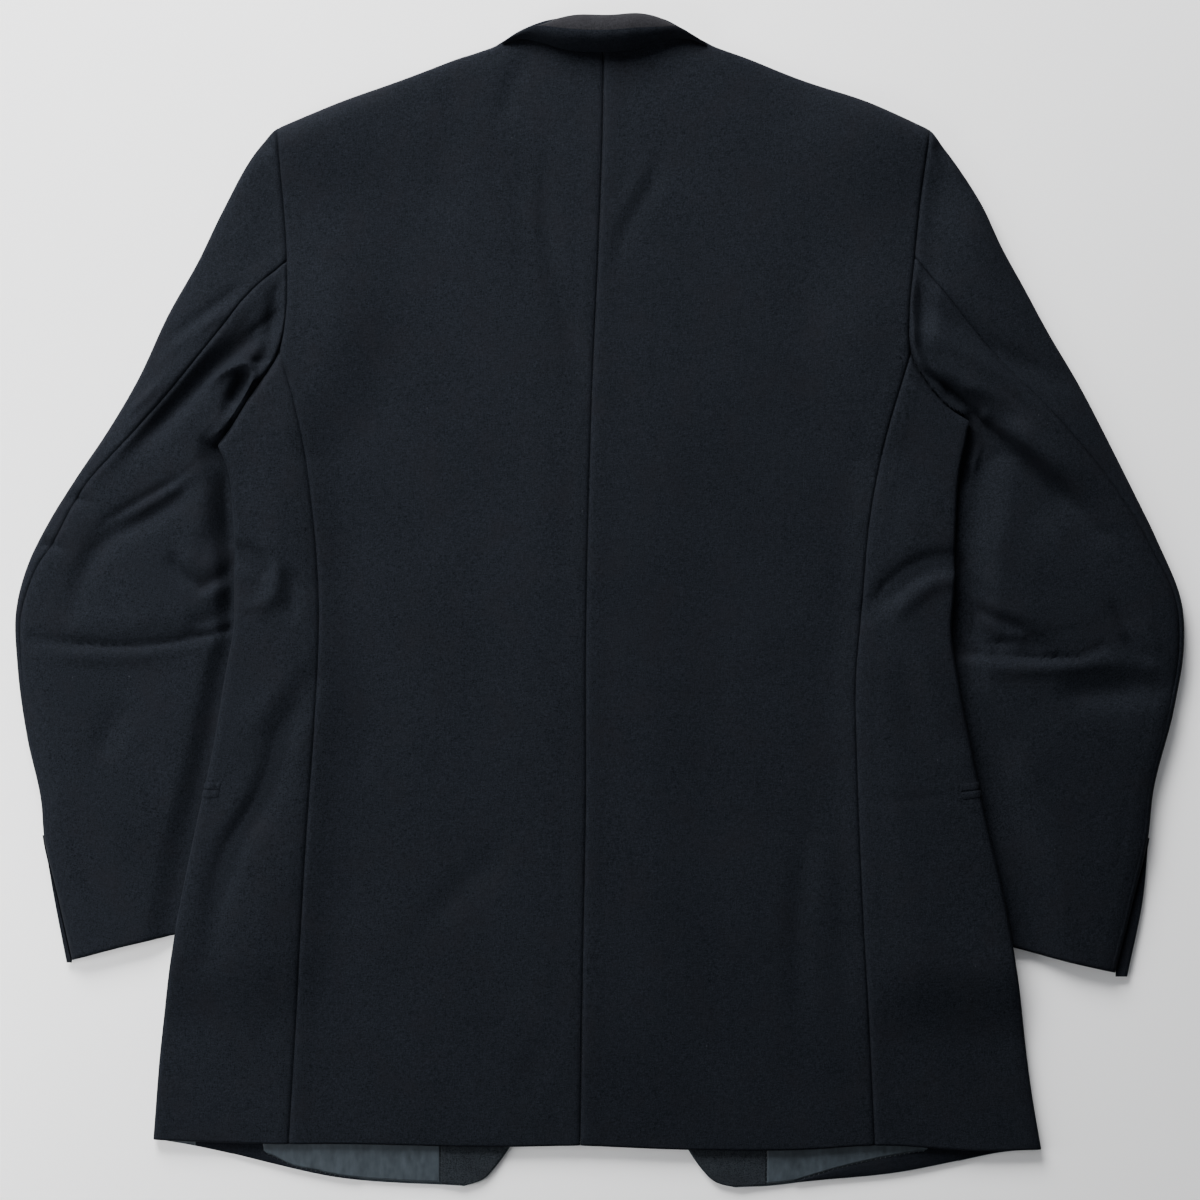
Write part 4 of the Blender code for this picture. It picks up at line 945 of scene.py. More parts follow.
class Wire:
    """A value in a material's nodes, on which sums are written as Python expressions."""

    def __init__(self, finish: "Nodes", socket: bpy.types.NodeSocket) -> None:
        """Args: finish: the nodes that it belongs to. socket: the output that carries it."""
        self.finish = finish
        self.socket = socket

    def _sum(self, operation: str, first: Any, second: Any) -> "Wire":
        """A Math node of two values."""
        node = self.finish.add("ShaderNodeMath", {"operation": operation}, {0: first, 1: second})
        return Wire(self.finish, node.outputs[0])

    def __add__(self, other: Any) -> "Wire":
        """self + other."""
        return self._sum("ADD", self, other)

    __radd__ = __add__

    def __mul__(self, other: Any) -> "Wire":
        """self * other."""
        return self._sum("MULTIPLY", self, other)

    def sine(self) -> "Wire":
        """The sine of the value, in radians."""
        node = self.finish.add("ShaderNodeMath", {"operation": "SINE"}, {0: self})
        return Wire(self.finish, node.outputs[0])

    def clipped(self, low: float, high: float) -> "Wire":
        """Spreads a part of the value's range over 0 to 1.

        Args:
            low, high: the part's ends.

        Returns:
            The new value.
        """
        node = self.finish.add("ShaderNodeMapRange", {"clamp": True},
                               {"Value": self, "From Min": low, "From Max": high})
        return Wire(self.finish, node.outputs[0])


class Nodes:
    """One material, and the ways in which its nodes are made."""

    def __init__(self, name: str) -> None:
        """Args: name: the finish's name."""
        self.material = bpy.data.materials.new(name)
        self.material.use_nodes = True
        self.tree = self.material.node_tree
        self.shader = self.tree.nodes["Principled BSDF"]

    def add(self, kind: str, settings: dict[str, Any], sockets: dict[str | int, Any]) -> bpy.types.Node:
        """Adds a node.

        Args:
            kind: the node's type.
            settings: its properties, set first.
            sockets: a value or a Wire for each input, by name or number.

        Returns:
            The node.
        """
        node = self.tree.nodes.new(kind)
        for key, value in settings.items():
            setattr(node, key, value)
        for key, value in sockets.items():
            self.set(node.inputs[key], value)
        return node

    def set(self, socket: bpy.types.NodeSocket, value: Any) -> None:
        """Sets or links an input.

        Args:
            socket: the input.
            value: what it gets: a value, or a Wire to link.
        """
        if isinstance(value, Wire):
            self.tree.links.new(value.socket, socket)
        else:
            socket.default_value = value

    def surface(self, **values: Any) -> None:
        """Sets the shader's own inputs, whose names are written with _ for spaces."""
        for key, value in values.items():
            self.set(self.shader.inputs[key.replace("_", " ")], value)

    def places(self, turn: float = 0.0) -> tuple[Wire, Wire, Wire]:
        """Places on the object, turned in plan.

        Args:
            turn: the angle in degrees.

        Returns:
            The whole vector, its x and its y, in metres.
        """
        coordinates = self.add("ShaderNodeTexCoord", {}, {})
        mapping = self.add("ShaderNodeMapping", {}, {"Vector": Wire(self, coordinates.outputs["Object"]),
                                                     "Rotation": (0.0, 0.0, math.radians(turn))})
        split = self.add("ShaderNodeSeparateXYZ", {}, {"Vector": Wire(self, mapping.outputs[0])})
        return Wire(self, mapping.outputs[0]), Wire(self, split.outputs[0]), Wire(self, split.outputs[1])

    def noise(self, vector: Wire, size: float, detail: float = 2.0,
              stretch: Triple = (1.0, 1.0, 1.0)) -> Wire:
        """A soft noise.

        Args:
            vector: the places.
            size: the size of its spots in millimetres.
            detail: how many finer layers it has.
            stretch: how many times longer the spots are on each axis.

        Returns:
            Its value, from 0 to 1.
        """
        scale = tuple(1.0 / (size * MM * s) for s in stretch)
        scaled = self.add("ShaderNodeVectorMath", {"operation": "MULTIPLY"}, {0: vector, 1: scale})
        node = self.add("ShaderNodeTexNoise", {}, {"Vector": Wire(self, scaled.outputs[0]), "Scale": 1.0,
                                                   "Detail": detail, "Roughness": 0.6})
        return Wire(self, node.outputs["Fac"])

    def mix(self, factor: Wire | float, first: Any, second: Any) -> Wire:
        """Mixes two colours.

        Args:
            factor: the share of the second.
            first, second: the colours, each 3 numbers or a Wire.

        Returns:
            The colour between them.
        """
        a, b = (c if isinstance(c, Wire) else (*c, 1.0) for c in (first, second))
        node = self.add("ShaderNodeMix", {"data_type": "RGBA"}, {0: factor, 6: a, 7: b})
        return Wire(self, node.outputs[2])

    def bump(self, height: Wire, distance: float, strength: float = 1.0) -> Wire:
        """Makes fine relief.

        Args:
            height: a value from 0 to 1.
            distance: the height in millimetres for 1.
            strength: the share of it that is used.

        Returns:
            The normal.
        """
        node = self.add("ShaderNodeBump", {},
                        {"Height": height, "Distance": distance * MM, "Strength": strength})
        return Wire(self, node.outputs[0])


@dataclass(frozen=True)
class Wool:
    """Plain-weave worsted wool: fine crossing threads, uneven yarn, a short nap and specks of lint."""

    name: str
    grain: float = 0.0
    dark: Triple = (0.0012, 0.0018, 0.0028)
    light: Triple = (0.0119, 0.0138, 0.0182)
    warm: Triple = (0.0080, 0.0080, 0.0102)
    pitch: float = 0.62
    lint: float = 0.90

    def make(self) -> Material:
        """Returns: the material."""
        n = Nodes(self.name)
        vector, x, y = n.places(self.grain)
        turns = 2 * math.pi / (self.pitch * MM)
        weave = (x * turns).sine() * (y * turns).sine() * 0.5 + 0.5
        warp = n.noise(vector, 0.8, 2.0, (1.0, 5.0, 1.0))
        weft = n.noise(vector, 0.8, 2.0, (4.0, 1.0, 1.0))
        grain = n.noise(vector, 0.85, 1.0)
        cloud = n.noise(vector, 70.0, 1.0)
        tone = warp * 0.24 + weft * 0.26 + grain * 0.50 + weave * 0.10 + cloud * 0.06
        shade = n.mix(tone.clipped(0.41, 0.74), self.dark, self.light)
        shade = n.mix(n.noise(vector, 28.0, 2.0).clipped(0.5, 0.85) * 0.5, shade, self.warm)
        fibre = n.noise(vector, 1.1, 0.0, (1.0, 3.5, 1.0)).clipped(self.lint, self.lint + 0.03)
        shade = n.mix(fibre * 0.35, shade, (0.05, 0.052, 0.06))
        height = weave * 0.45 + warp * 0.3 + weft * 0.3 + grain * 0.35
        n.surface(Base_Color=shade, Roughness=0.70 + grain * 0.2, Specular_IOR_Level=0.03,
                  Sheen_Weight=0.004, Sheen_Roughness=0.4, Sheen_Tint=(0.75, 0.80, 0.92, 1.0),
                  Normal=n.bump(height, 0.16, 0.75))
        return n.material


@dataclass(frozen=True)
class Satin:
    """The lining's satin: close fine ribs, a soft shine and small rumples."""

    name: str = "lining_satin"
    dark: Triple = (0.017, 0.022, 0.027)
    light: Triple = (0.039, 0.050, 0.060)

    def make(self) -> Material:
        """Returns: the material."""
        n = Nodes(self.name)
        vector, x, _ = n.places(0.0)
        ribs = (x * (2 * math.pi / (0.5 * MM))).sine() * 0.5 + 0.5
        streaks = n.noise(vector, 4.0, 2.0, (1.0, 2.6, 1.0))
        rumple = n.noise(vector, 9.0, 2.0, (1.0, 1.4, 1.0))
        tone = (streaks * 0.5 + rumple * 0.5).clipped(0.3, 0.72)
        n.surface(Base_Color=n.mix(tone, self.dark, self.light), Roughness=0.36 + streaks * 0.16,
                  Specular_IOR_Level=0.22, Sheen_Weight=0.02, Sheen_Roughness=0.3,
                  Normal=n.bump(ribs * 0.08 + rumple * 0.6 + streaks * 0.2, 0.4, 0.6))
        return n.material


@dataclass(frozen=True)
class Horn:
    """Dark half-polished button stuff with clouded streaks."""

    name: str = "horn_button"

    def make(self) -> Material:
        """Returns: the material."""
        n = Nodes(self.name)
        vector, _, _ = n.places(20.0)
        cloud = n.noise(vector, 5.0, 3.0, (1.0, 3.0, 1.0))
        shade = n.mix(cloud.clipped(0.4, 0.7), (0.008, 0.008, 0.010), (0.034, 0.028, 0.026))
        n.surface(Base_Color=shade, Roughness=0.26 + cloud * 0.22, Coat_Weight=0.15,
                  Normal=n.bump(n.noise(vector, 0.6, 2.0), 0.03))
        return n.material


@dataclass(frozen=True)
class Thread:
    """Twisted sewing thread."""

    name: str = "sewing_thread"
    colour: Triple = (0.016, 0.020, 0.028)
    light: Triple = (0.040, 0.048, 0.062)

    def make(self) -> Material:
        """Returns: the material."""
        n = Nodes(self.name)
        vector, x, y = n.places(0.0)
        twist = ((x + y) * (2 * math.pi / (0.35 * MM))).sine() * 0.5 + 0.5
        n.surface(Base_Color=n.mix(twist, self.colour, self.light), Roughness=0.5 + twist * 0.15,
                  Sheen_Weight=0.2, Normal=n.bump(twist * 0.7 + n.noise(vector, 0.5) * 0.3, 0.08))
        return n.material


class Finishes:
    """The jacket's materials, made once."""

    def __init__(self) -> None:
        """Makes each finish."""
        self.body = Wool("wool_body").make()
        self.sleeve = {cut.name: Wool(f"wool_sleeve_{cut.name}", cut.sleeve_grain).make()
                       for cut in (LEFT, RIGHT)}
        # a darker copy of the body wool whose colour is painted shade, for the turned-up hem
        self.shade = Wool("wool_painted_shade", 0.0, (0.0010, 0.0014, 0.0022), (0.0090, 0.0108, 0.0145)).make()
        self.facing = Wool("wool_facing", 0.0, (0.0032, 0.0042, 0.0056), (0.0275, 0.0320, 0.0375)).make()
        # a lighter, warmer wool for the collar stand: partly the undercollar felt's own colour, partly
        # painted light where the stand faces the lamp
        self.felt_and_painted_light = Wool("undercollar_felt_painted_light", 0.0, (0.0048, 0.0048, 0.0055), (0.0185, 0.0185, 0.0212),
                         (0.0142, 0.0134, 0.0142)).make()
        self.satin = Satin().make()
        self.horn = Horn().make()
        self.thread = Thread().make()


# ---------- the pieces ----------

@dataclass
class Maker:
    """What every sub-assembly needs: the finishes, and how a finished piece is put in the frame."""

    finishes: Finishes
    made: list[str] = field(default_factory=list)

    def cloth(self, piece: Object, node: str, flat: Pair, area: float, held: str = "laid",
              rests_on: Sequence[str] = (), slot: str = SUITING) -> None:
        """Puts a piece of cloth in the frame.

        Args:
            piece: the piece.
            node: the solid that it stands for.
            flat: not used.
            area: not used.
            held: not used.
            rests_on: not used.
            slot: a material slot's name, handed on to place.
        """
        self.place(piece, slot, node)

    def place(self, piece: Object, slot: str, node: str = "") -> None:
        """Puts a piece in the frame, on the jacket's only body.

        Args:
            piece: the piece.
            slot: not used.
            node: the solid that it stands for, if any.
        """
        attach(piece, "root")
        if node:
            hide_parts(node)
        self.made.append(piece.name)
        log.info("%s: %d faces", piece.name, len(piece.data.polygons))


def straight(start: Array, end: Array, share: Array) -> Array:
    """Places at shares of the straight line from one place to another."""
    return start + (end - start) * share[:, None]


def down_both(first: Curve, then: Curve, y: Array) -> Array:
    """Places at each y, down one curve and then down the next."""
    return np.where(y[:, None] > then.p[0][1] + 0.5, first.down(y), then.down(y))


def knotted(knots: Sequence[float], steps: Sequence[int]) -> Array:
    """Row heights that run evenly between knots."""
    parts = [np.linspace(a, b, n, endpoint=False) for a, b, n in zip(knots, knots[1:], steps)]
    return np.concatenate(parts + [[knots[-1]]])


@dataclass
class Back:
    """One half of the back, from the centre back seam to the armhole and the side seam."""

    maker: Maker
    cut: Cut
    step: float = 2.8
    rows: tuple[int, int, int] = (78, 222, 8)
    centre: tuple[float, ...] = (416, 239, -383, -389)
    hem_zone: float = 6.0
    flat: Pair = (0.236, 0.806)
    area: float = 0.163
    least_wall: float = 0.8
    pad_share: float = 0.75

    def build(self) -> None:
        """Makes the half back."""
        cut, sign = self.cut, self.cut.sign
        middle = Curve(CENTRE_BACK).moved(-sign * FORM.seam_gap / 2)
        seam, armhole = cut.inward("side_seam"), cut.inward("armhole")
        seam_low = seam.p[-1][1]
        edge_y = knotted((SHOULDER_Y, cut.side_seam[0][1], seam_low + self.hem_zone, seam_low), self.rows)
        centre_y = knotted(self.centre, self.rows)
        left, right = middle.down(centre_y), down_both(armhole, seam, edge_y)
        u = shares(self.flat[0] / MM, self.step)
        hem = cut.curve("hem")
        top = cut.top_line().moved(sign * FORM.seam_gap / 2).at(u)
        low = hem.at(u * hem.share_of(cut.side_seam[-1]))
        top[0], top[-1], low[0], low[-1] = left[0], right[0], left[-1], right[-1]
        v = (centre_y[0] - centre_y) / (centre_y[0] - centre_y[-1])
        plan = patch(top, low, left, right, u, v)
        x, y = plan[..., 0], plan[..., 1]
        height = FORM.top(x, y)
        surface = height + FORM.seam(Curve(CENTRE_BACK), x, y) + FORM.seam(cut.curve("side_seam"), x, y)
        surface = surface + FORM.seam(cut.curve("armhole"), x, y, 1.1, False) + FORM.hem_roll(hem, x, y)
        surface = surface + FORM.seam(cut.curve("shoulder"), x, y, 0.8, False)
        pad = self.pad_share * FORM.pad_swell(cut, x, y)
        low_side = FORM.base(x, y) + FORM.cloth + FORM.lift
        inside = np.maximum(np.minimum(surface, height) - FORM.cloth - pad, low_side)
        inside = np.minimum(surface - self.least_wall, inside)
        piece = shell(f"half_back_{cut.name}", raised(plan, surface), raised(plan, inside),
                      self.maker.finishes.body, self.maker.finishes.satin)
        self.maker.cloth(piece, f"back_{cut.name}", self.flat, self.area, rests_on=[f"front_{cut.name}"])


@dataclass
class SideBody:
    """A side body, from the back side seam over the side fold to the front seam underneath."""

    maker: Maker
    cut: Cut
    step: float = 2.8
    level: Pair = (60.0, -350.0)
    width: float = 95.0
    under_columns: int = 18
    knots: tuple[float, ...] = (0, 1, 2, 2.9, 3)
    steps: tuple[int, ...] = (26, 150, 14, 8)
    flat: Pair = (0.165, 0.56)
    area: float = 0.074

    def rows(self, t: Array) -> tuple[Array, Array, Array]:
        """Rows of cloth round the side fold.

        Args:
            t: where the rows are: 0 at the armhole, 1 and 2 at two y that all edges share, 3 at the hem.

        Returns:
            The plan places, the ways out of the cloth, and the angle of each column.
        """
        cut = self.cut
        seam, front = cut.inward("side_seam", -1), cut.inward("front_seam", -1)
        fold, armhole = cut.curve("side_out"), cut.inward("armhole")
        edges, ends = [], []
        for curve in (seam, fold, front):
            for rows, into in ((t, edges), (np.array([0.0, 3.0]), ends)):
                y = np.interp(rows, (0, 1, 2, 3), (curve.p[0][1], *self.level, curve.p[-1][1]))
                into.append(curve.down(y))
        left, middle, right = edges
        start, meet = (cut.curve("armhole").share_of(p[0]) for p in (cut.side_seam, cut.front_seam))
        u = shares(self.width, self.step, True, False)
        w = np.concatenate([[0.0], np.linspace(0.06, 1.0, self.under_columns)])
        v = t / 3
        hem = cut.curve("hem")
        at = hem.share_of(cut.side_seam[-1])
        over = armhole.at(start + (1 - start) * u), hem.at(at + (1 - at) * u)
        under = armhole.at(1 - (1 - meet) * w), cut.curve("side_hem").at(w)
        for k in (0, 1):
            over[k][0], over[k][-1] = ends[0][k], ends[1][k]
            under[k][0], under[k][-1] = ends[1][k], ends[2][k]
        upper = patch(*over, left, middle, u, v)
        lower = patch(*under, middle, right, w, v)
        clear = np.linalg.norm(upper - middle[:, None], axis=-1)
        keep = clear.min(axis=0) > FORM.fold_radius
        keep[-1] = True
        return turned(upper[:, keep], lower, FORM.fold_radius, FOLD_ANGLES)

    def surface(self, plan: Array, angle: Array) -> Array:
        """The outside of rows.

        Args:
            plan: rows by columns by 2.
            angle: each column's angle round the fold.

        Returns:
            Places, rows by columns by 3.
        """
        x, y = plan[..., 0], plan[..., 1]
        low, high = FORM.base(x, y), FORM.top(x, y)
        share = 0.5 + 0.5 * np.sin(angle)[None]
        seams = FORM.seam(self.cut.curve("side_seam"), x, y)
        seams = seams + FORM.seam(self.cut.curve("armhole"), x, y, 1.1, False)
        seams = seams + FORM.hem_roll(self.cut.curve("hem"), x, y)
        return raised(plan, low + (high - low) * share + seams * np.clip(np.sin(angle), 0, 1)[None])

    def build(self) -> None:
        """Makes the side body."""
        cut = self.cut
        plan, normal, angle = self.rows(knotted(self.knots, self.steps))
        outer = self.surface(plan, angle)
        piece = shell(f"side_panel_{cut.name}", outer, outer - normal * FORM.cloth, self.maker.finishes.body,
                      self.maker.finishes.satin)
        self.maker.cloth(piece, f"side_body_{cut.name}", self.flat, self.area, "folded",
                         [f"top_sleeve_{cut.name}"])


@dataclass
class Front:
    """A front, which lies on the ground with its outside down, from its edge to the front seam."""

    maker: Maker
    cut: Cut
    step: float = 3.6
    width: float = 230.0
    rows: tuple[int, ...] = (48, 30, 76, 44, 8)
    level: Pair = (60.0, -208.0)
    hem_zone: float = 7.0
    edge_round: Pair = (1.6, 0.7)
    flat: Pair = (0.33, 0.83)
    area: float = 0.172

    def build(self) -> None:
        """Makes the front."""
        cut = self.cut
        edge, armhole, seam = cut.curve("front_edge"), cut.inward("armhole"), cut.inward("front_seam")
        high, low, seam_low = *self.level, seam.p[-1][1]
        edge_y = knotted((edge.p[0][1], 170, high, low, -411, edge.p[-1][1]), self.rows)
        side_y = knotted((SHOULDER_Y, cut.front_seam[0][1], high, low, seam_low + self.hem_zone, seam_low),
                         self.rows)
        left, right = edge.down(edge_y), down_both(armhole, seam, side_y)
        u = shares(self.width, self.step)
        top = cut.inward("shoulder").at(u)
        low = cut.curve("front_hem").at(1 - u)
        top[0], top[-1], low[0], low[-1] = left[0], right[0], left[-1], right[-1]
        v = (side_y[0] - side_y) / (side_y[0] - side_y[-1])
        plan = patch(top, low, left, right, u, v)
        x, y = plan[..., 0], plan[..., 1]
        height = FORM.base(x, y) + FORM.front_rise(cut, x, y) + total(FRONT_FOLDS[cut.name], x, y)
        seams = -FORM.roll(cut.curve("front_seam").nearest(x, y)[0], y, 0.8, False)
        inside = height + FORM.cloth + FORM.hem_roll(edge, x, y, *self.edge_round)
        inside = inside + FORM.hem_roll(cut.curve("front_hem"), x, y, *self.edge_round)
        piece = shell(f"front_panel_{cut.name}", raised(plan, height + np.maximum(seams, 0)),
                      raised(plan, inside), self.maker.finishes.body, self.maker.finishes.satin)
        self.maker.cloth(piece, f"front_{cut.name}", self.flat, self.area)


@dataclass
class Lapel:
    """The turned lapel and the collar's end beside it, flat on the ground under the front."""

    maker: Maker
    cut: Cut
    gorge_y: float = 334.0
    inset: float = 2.0
    notch: Pair = (22.0, 10.0)
    leaf_above: float = 8.0
    leaf_clear: float = 3.0
    lapel_cut: CutSize = ((0.085, 0.30), 0.0128)
    leaf_cut: CutSize = ((0.056, 0.055), 0.0021)

    def build(self) -> None:
        """Makes both pieces."""
        cut, sign = self.cut, self.cut.sign
        edge = cut.curve("front_edge")
        low, tip = cut.lapel_out[-1], cut.lapel_out[0]
        inset = np.array([sign * self.inset, 0.0])
        v, u = shares(300.0, 3.0), shares(90.0, 3.0)
        out = cut.curve("lapel_out").at(v)
        left = edge.down(self.gorge_y + (low[1] - self.gorge_y) * v) + inset
        notch = (tip[0] - sign * self.notch[0], tip[1] + self.notch[1])
        gorge = np.array([left[0], notch, out[0]])
        top = np.stack([np.interp(u, (0, 0.75, 1), gorge[:, k]) for k in (0, 1)], axis=-1)
        plan = patch(top, straight(left[-1], out[-1], u), left, out, u, v)
        piece = plate(f"turned_lapel_{cut.name}", plan, 0.0, FORM.lapel, self.maker.finishes.body)
        self.maker.cloth(piece, f"lapel_{cut.name}", *self.lapel_cut, "folded")

        v, u = shares(54.0, 2.5), shares(40.0, 2.5)
        out = cut.curve("leaf_out").at(v)
        high = out[0][1] + self.leaf_above
        left = edge.down(high + (self.gorge_y + self.leaf_clear - high) * v) + inset
        plan = patch(straight(left[0], out[0], u), straight(left[-1], out[-1], u), left, out, u, v)
        piece = plate(f"collar_end_{cut.name}", plan, 0.0, FORM.lapel, self.maker.finishes.body)
        self.maker.cloth(piece, f"collar_leaf_{cut.name}", *self.leaf_cut, "folded")


@dataclass
class Sleeve:
    """A two-piece sleeve that lies on the ground, from the armhole to the cuff, with its folds."""

    maker: Maker
    cut: Cut
    step: float = 2.5
    columns: tuple[int, int, int, int] = (44, 12, 82, 8)
    fold_radius: float = 3.42
    front_seam: float = 26.0
    vent_edge: float = 5.0
    fullness: float = 8.0
    elbow_less: Triple = (2.0, 0.45, 0.7)
    cuff_less: Triple = (2.3, 0.75, 1.0)
    lowest: float = 4.5
    length: float = 470.0
    edge_round: float = 30.0
    loose_from: Pair = (2.0, 16.0)
    folds_from: Pair = (0.5, 3.5)
    joined_above: Pair = (26.0, 62.0)
    joined_fade: Pair = (2.0, 46.0)
    joined_edge: Pair = (0.0, 12.0)
    beside_fade: Pair = (1.0, 13.0)
    beside_above: Pair = (0.0, 10.0)
    joint_folds: float = 0.75
    joint_from: Pair = (0.6, 3.5)
    flat_seam: Triple = (0.85, 0.58, 0.74)
    head_dip: float = 1.25
    cuff_round: Pair = (2.8, 2.3)
    top_cut: CutSize = ((0.19, 0.62), 0.084)
    under_cut: CutSize = ((0.19, 0.58), 0.076)
    strip_wall: float = 1.6
    strip_low: float = 2.6
    strip_start: float = 0.35
    strip_least: float = 0.8
    strip_cut: Pair = (0.012, 0.093)
    rows: Array = field(init=False)
    plan: Array = field(init=False)

    def __post_init__(self) -> None:
        """Lays out the rows from the armhole to the cuff."""
        cut, grid = self.cut, np.linspace(0, 1, 121)
        self.rows = shares(self.length, self.step)
        armhole = cut.curve("armhole").moved(-cut.sign * FORM.armhole_gap)
        self.plan = patch(armhole.at(grid), cut.curve("cuff").at(grid), cut.curve("sleeve_out").at(self.rows),
                          cut.curve("sleeve_in").at(self.rows), grid, self.rows)

    def top(self, x: Array, y: Array) -> Array:
        """The sleeve's upper outside, with its folds but without its seams.

        Args:
            x, y: the places.

        Returns:
            The height at each place.
        """
        cut = self.cut
        away = FORM.outside(cut, x, y)
        edge, share, _ = cut.curve("sleeve_out").nearest(x, y)
        fullness = self.fullness
        for less, start, end in (self.elbow_less, self.cuff_less):
            fullness = fullness - less * ramp(share, start, end)
        table = np.array(SLEEVE_RISE[cut.name], float).T
        start, end = (np.interp(y, table[0], column) for column in table[1:])
        end = end + SLEEVE_RISE_WAVE.at(x, y)
        puff = fullness * rounded(edge / self.edge_round) * ramp((away - start) / (end - start), 0.0, 1.0)
        laid = total(SLEEVE_FOLDS[cut.name], x, y)
        loose = total(SLEEVE_UNEVENNESS, x, y) * ramp(edge, *self.loose_from)
        height = FORM.sleeve_flat + puff + (laid + loose) * ramp(away, *self.folds_from)
        joined = ramp(y - cut.side_seam[0][1], *self.joined_above)
        near = (1 - ramp(away, *self.joined_fade)) * joined * ramp(edge, *self.joined_edge)
        beside = (1 - ramp(away, *self.beside_fade)) * ramp(y - cut.side_out[0][1], *self.beside_above)
        near = np.maximum(near, beside)
        joint = FORM.top(x, y) + self.joint_folds * laid * ramp(away, *self.joint_from)
        height = height + (np.maximum(joint, FORM.sleeve_flat) - height) * near
        tucked = (away < -0.5) | ((away < 1.5) & (y < cut.side_out[0][1]))
        return np.where(tucked, FORM.sleeve_flat, np.maximum(height, self.lowest))

    def seam_run(self) -> Array:
        """How far the elbow seam lies from the sleeve's outer edge.

        Returns:
            Its distance in every row.
        """
        fine = np.linspace(0, 1, 480)
        grid = np.linspace(0, 1, self.plan.shape[1])
        found = np.empty(len(self.plan))
        for k, row in enumerate(self.plan):
            x, y = (np.interp(fine, grid, row[:, a]) for a in (0, 1))
            away, _, _ = self.cut.curve("elbow_seam").nearest(x, y)
            found[k] = np.interp(fine[np.argmin(away)], grid, run_along(row))
        reached = int(np.argmax(found < self.vent_edge + 3))
        after = np.arange(len(found) - reached)
        found[reached:] = self.vent_edge + (found[reached] - self.vent_edge) * (1 - ramp(after, 0, 14))
        kernel = np.ones(5) / 5
        return np.maximum(np.convolve(np.pad(found, 2, mode="edge"), kernel, "valid"), self.vent_edge)

    def at(self, distance: Array) -> Array:
        """Plan places beside the outer edge.

        Args:
            distance: how far from it, rows by columns.

        Returns:
            The places, rows by columns by 2.
        """
        out = np.empty(distance.shape + (2,))
        for k, line in enumerate(self.plan):
            run = run_along(line)
            out[k] = np.stack([np.interp(distance[k], run, line[:, a]) for a in (0, 1)], axis=-1)
        return out

    def surface(self, plan: Array, angle: Array, from_seam: Array) -> Array:
        """The outside of rows round a fold, with the elbow seam and the cuff.

        Args:
            plan: rows by columns by 2.
            angle: each column's angle round the fold.
            from_seam: each place's distance from the elbow seam.

        Returns:
            Places, rows by columns by 3.
        """
        x, y = plan[..., 0], plan[..., 1]
        upper = np.clip(np.sin(angle), 0, 1)[None]
        less, start, end = self.flat_seam
        dip = 1.0 - less * ramp(self.rows, start, end)
        seams = FORM.roll(from_seam, self.rows[:, None] * self.length, dip[:, None]) * upper
        head = FORM.seam(self.cut.curve("armhole"), x, y, self.head_dip, False) * upper
        cuff = FORM.hem_roll(self.cut.curve("cuff"), x, y, *self.cuff_round) * upper
        under = total(UNDERSIDE_FOLDS[self.cut.name], x, y) * np.clip(-np.sin(angle), 0, 1)[None]
        return raised(plan, self.top(x, y) * (0.5 + 0.5 * np.sin(angle))[None] + seams + head + cuff + under)

    def half(self, name: str, upper: Array, lower: Array, seam: Array, size: CutSize) -> None:
        """Makes one half of the sleeve.

        Args:
            name: which half it is.
            upper, lower: distances from the outer edge, towards the fold and away from it.
            seam: the elbow seam's distance in every row.
            size: the cut's width and length, and its area.
        """
        plan, normal, angle = turned(self.at(upper), self.at(lower), self.fold_radius, FOLD_ANGLES)
        missing = plan.shape[1] - upper.shape[1]
        from_seam = np.abs(np.pad(upper, ((0, 0), (0, missing)), mode="edge") - seam[:, None])
        outer = self.surface(plan, angle, from_seam)
        thick = FORM.cloth * (0.9 + 0.1 * np.abs(np.sin(angle)))[None, :, None]
        finishes = self.maker.finishes
        piece = shell(f"{name}_half_{self.cut.name}", outer, outer - normal * thick,
                      finishes.sleeve[self.cut.name], finishes.satin)
        self.maker.cloth(piece, f"{name}_sleeve_{self.cut.name}", *size, "folded")

    def build(self) -> None:
        """Makes both halves and the strip in the cuff's vent."""
        seam = self.seam_run()
        width = np.linalg.norm(np.diff(self.plan, axis=1), axis=-1).sum(axis=1)
        radius, gap = FORM.fold_radius, FORM.seam_gap / 2
        top_upper, under_lower, under_upper, top_lower = self.columns
        front = width - self.front_seam
        edge, near, far = np.zeros(len(seam)), np.full_like(seam, radius), width - radius
        self.half("top", np.column_stack([spread(seam - gap, near, top_upper, True, False), edge]),
                  np.column_stack([edge, spread(near, front - gap, top_lower + 6, False, True)]),
                  seam, self.top_cut)
        self.half("under", np.column_stack([spread(seam + gap, far, under_upper, True, False), width]),
                  np.column_stack([width, spread(far, front + gap, under_lower, False, True)]),
                  seam, self.under_cut)
        self.build_underlap()

    def build_underlap(self) -> None:
        """Makes the strip in the cuff's vent, which shows beside the sleeve's outer edge."""
        cut, sign = self.cut, self.cut.sign
        v = shares(92.0, 2.0)
        out = cut.curve("underlap_out").at(v)
        edge = cut.curve("sleeve_out")
        left = edge.down(out[:, 1]) + np.array([sign * self.strip_start, 0.0])
        out[:, 0] = sign * np.maximum(sign * out[:, 0], sign * left[:, 0] + self.strip_least)
        left[:, 1] = out[:, 1]
        u = np.linspace(0, 1, 7)[None, :, None]
        plan = left[:, None] * (1 - u) + out[:, None] * u
        piece = plate(f"vent_strip_{cut.name}", plan, self.strip_low, self.strip_wall,
                      self.maker.finishes.sleeve[cut.name], 0.7)
        width = float(np.linalg.norm(left - out, axis=1).mean()) + self.strip_wall
        self.maker.cloth(piece, f"cuff_underlap_{cut.name}", self.strip_cut, width * MM * self.strip_cut[1])


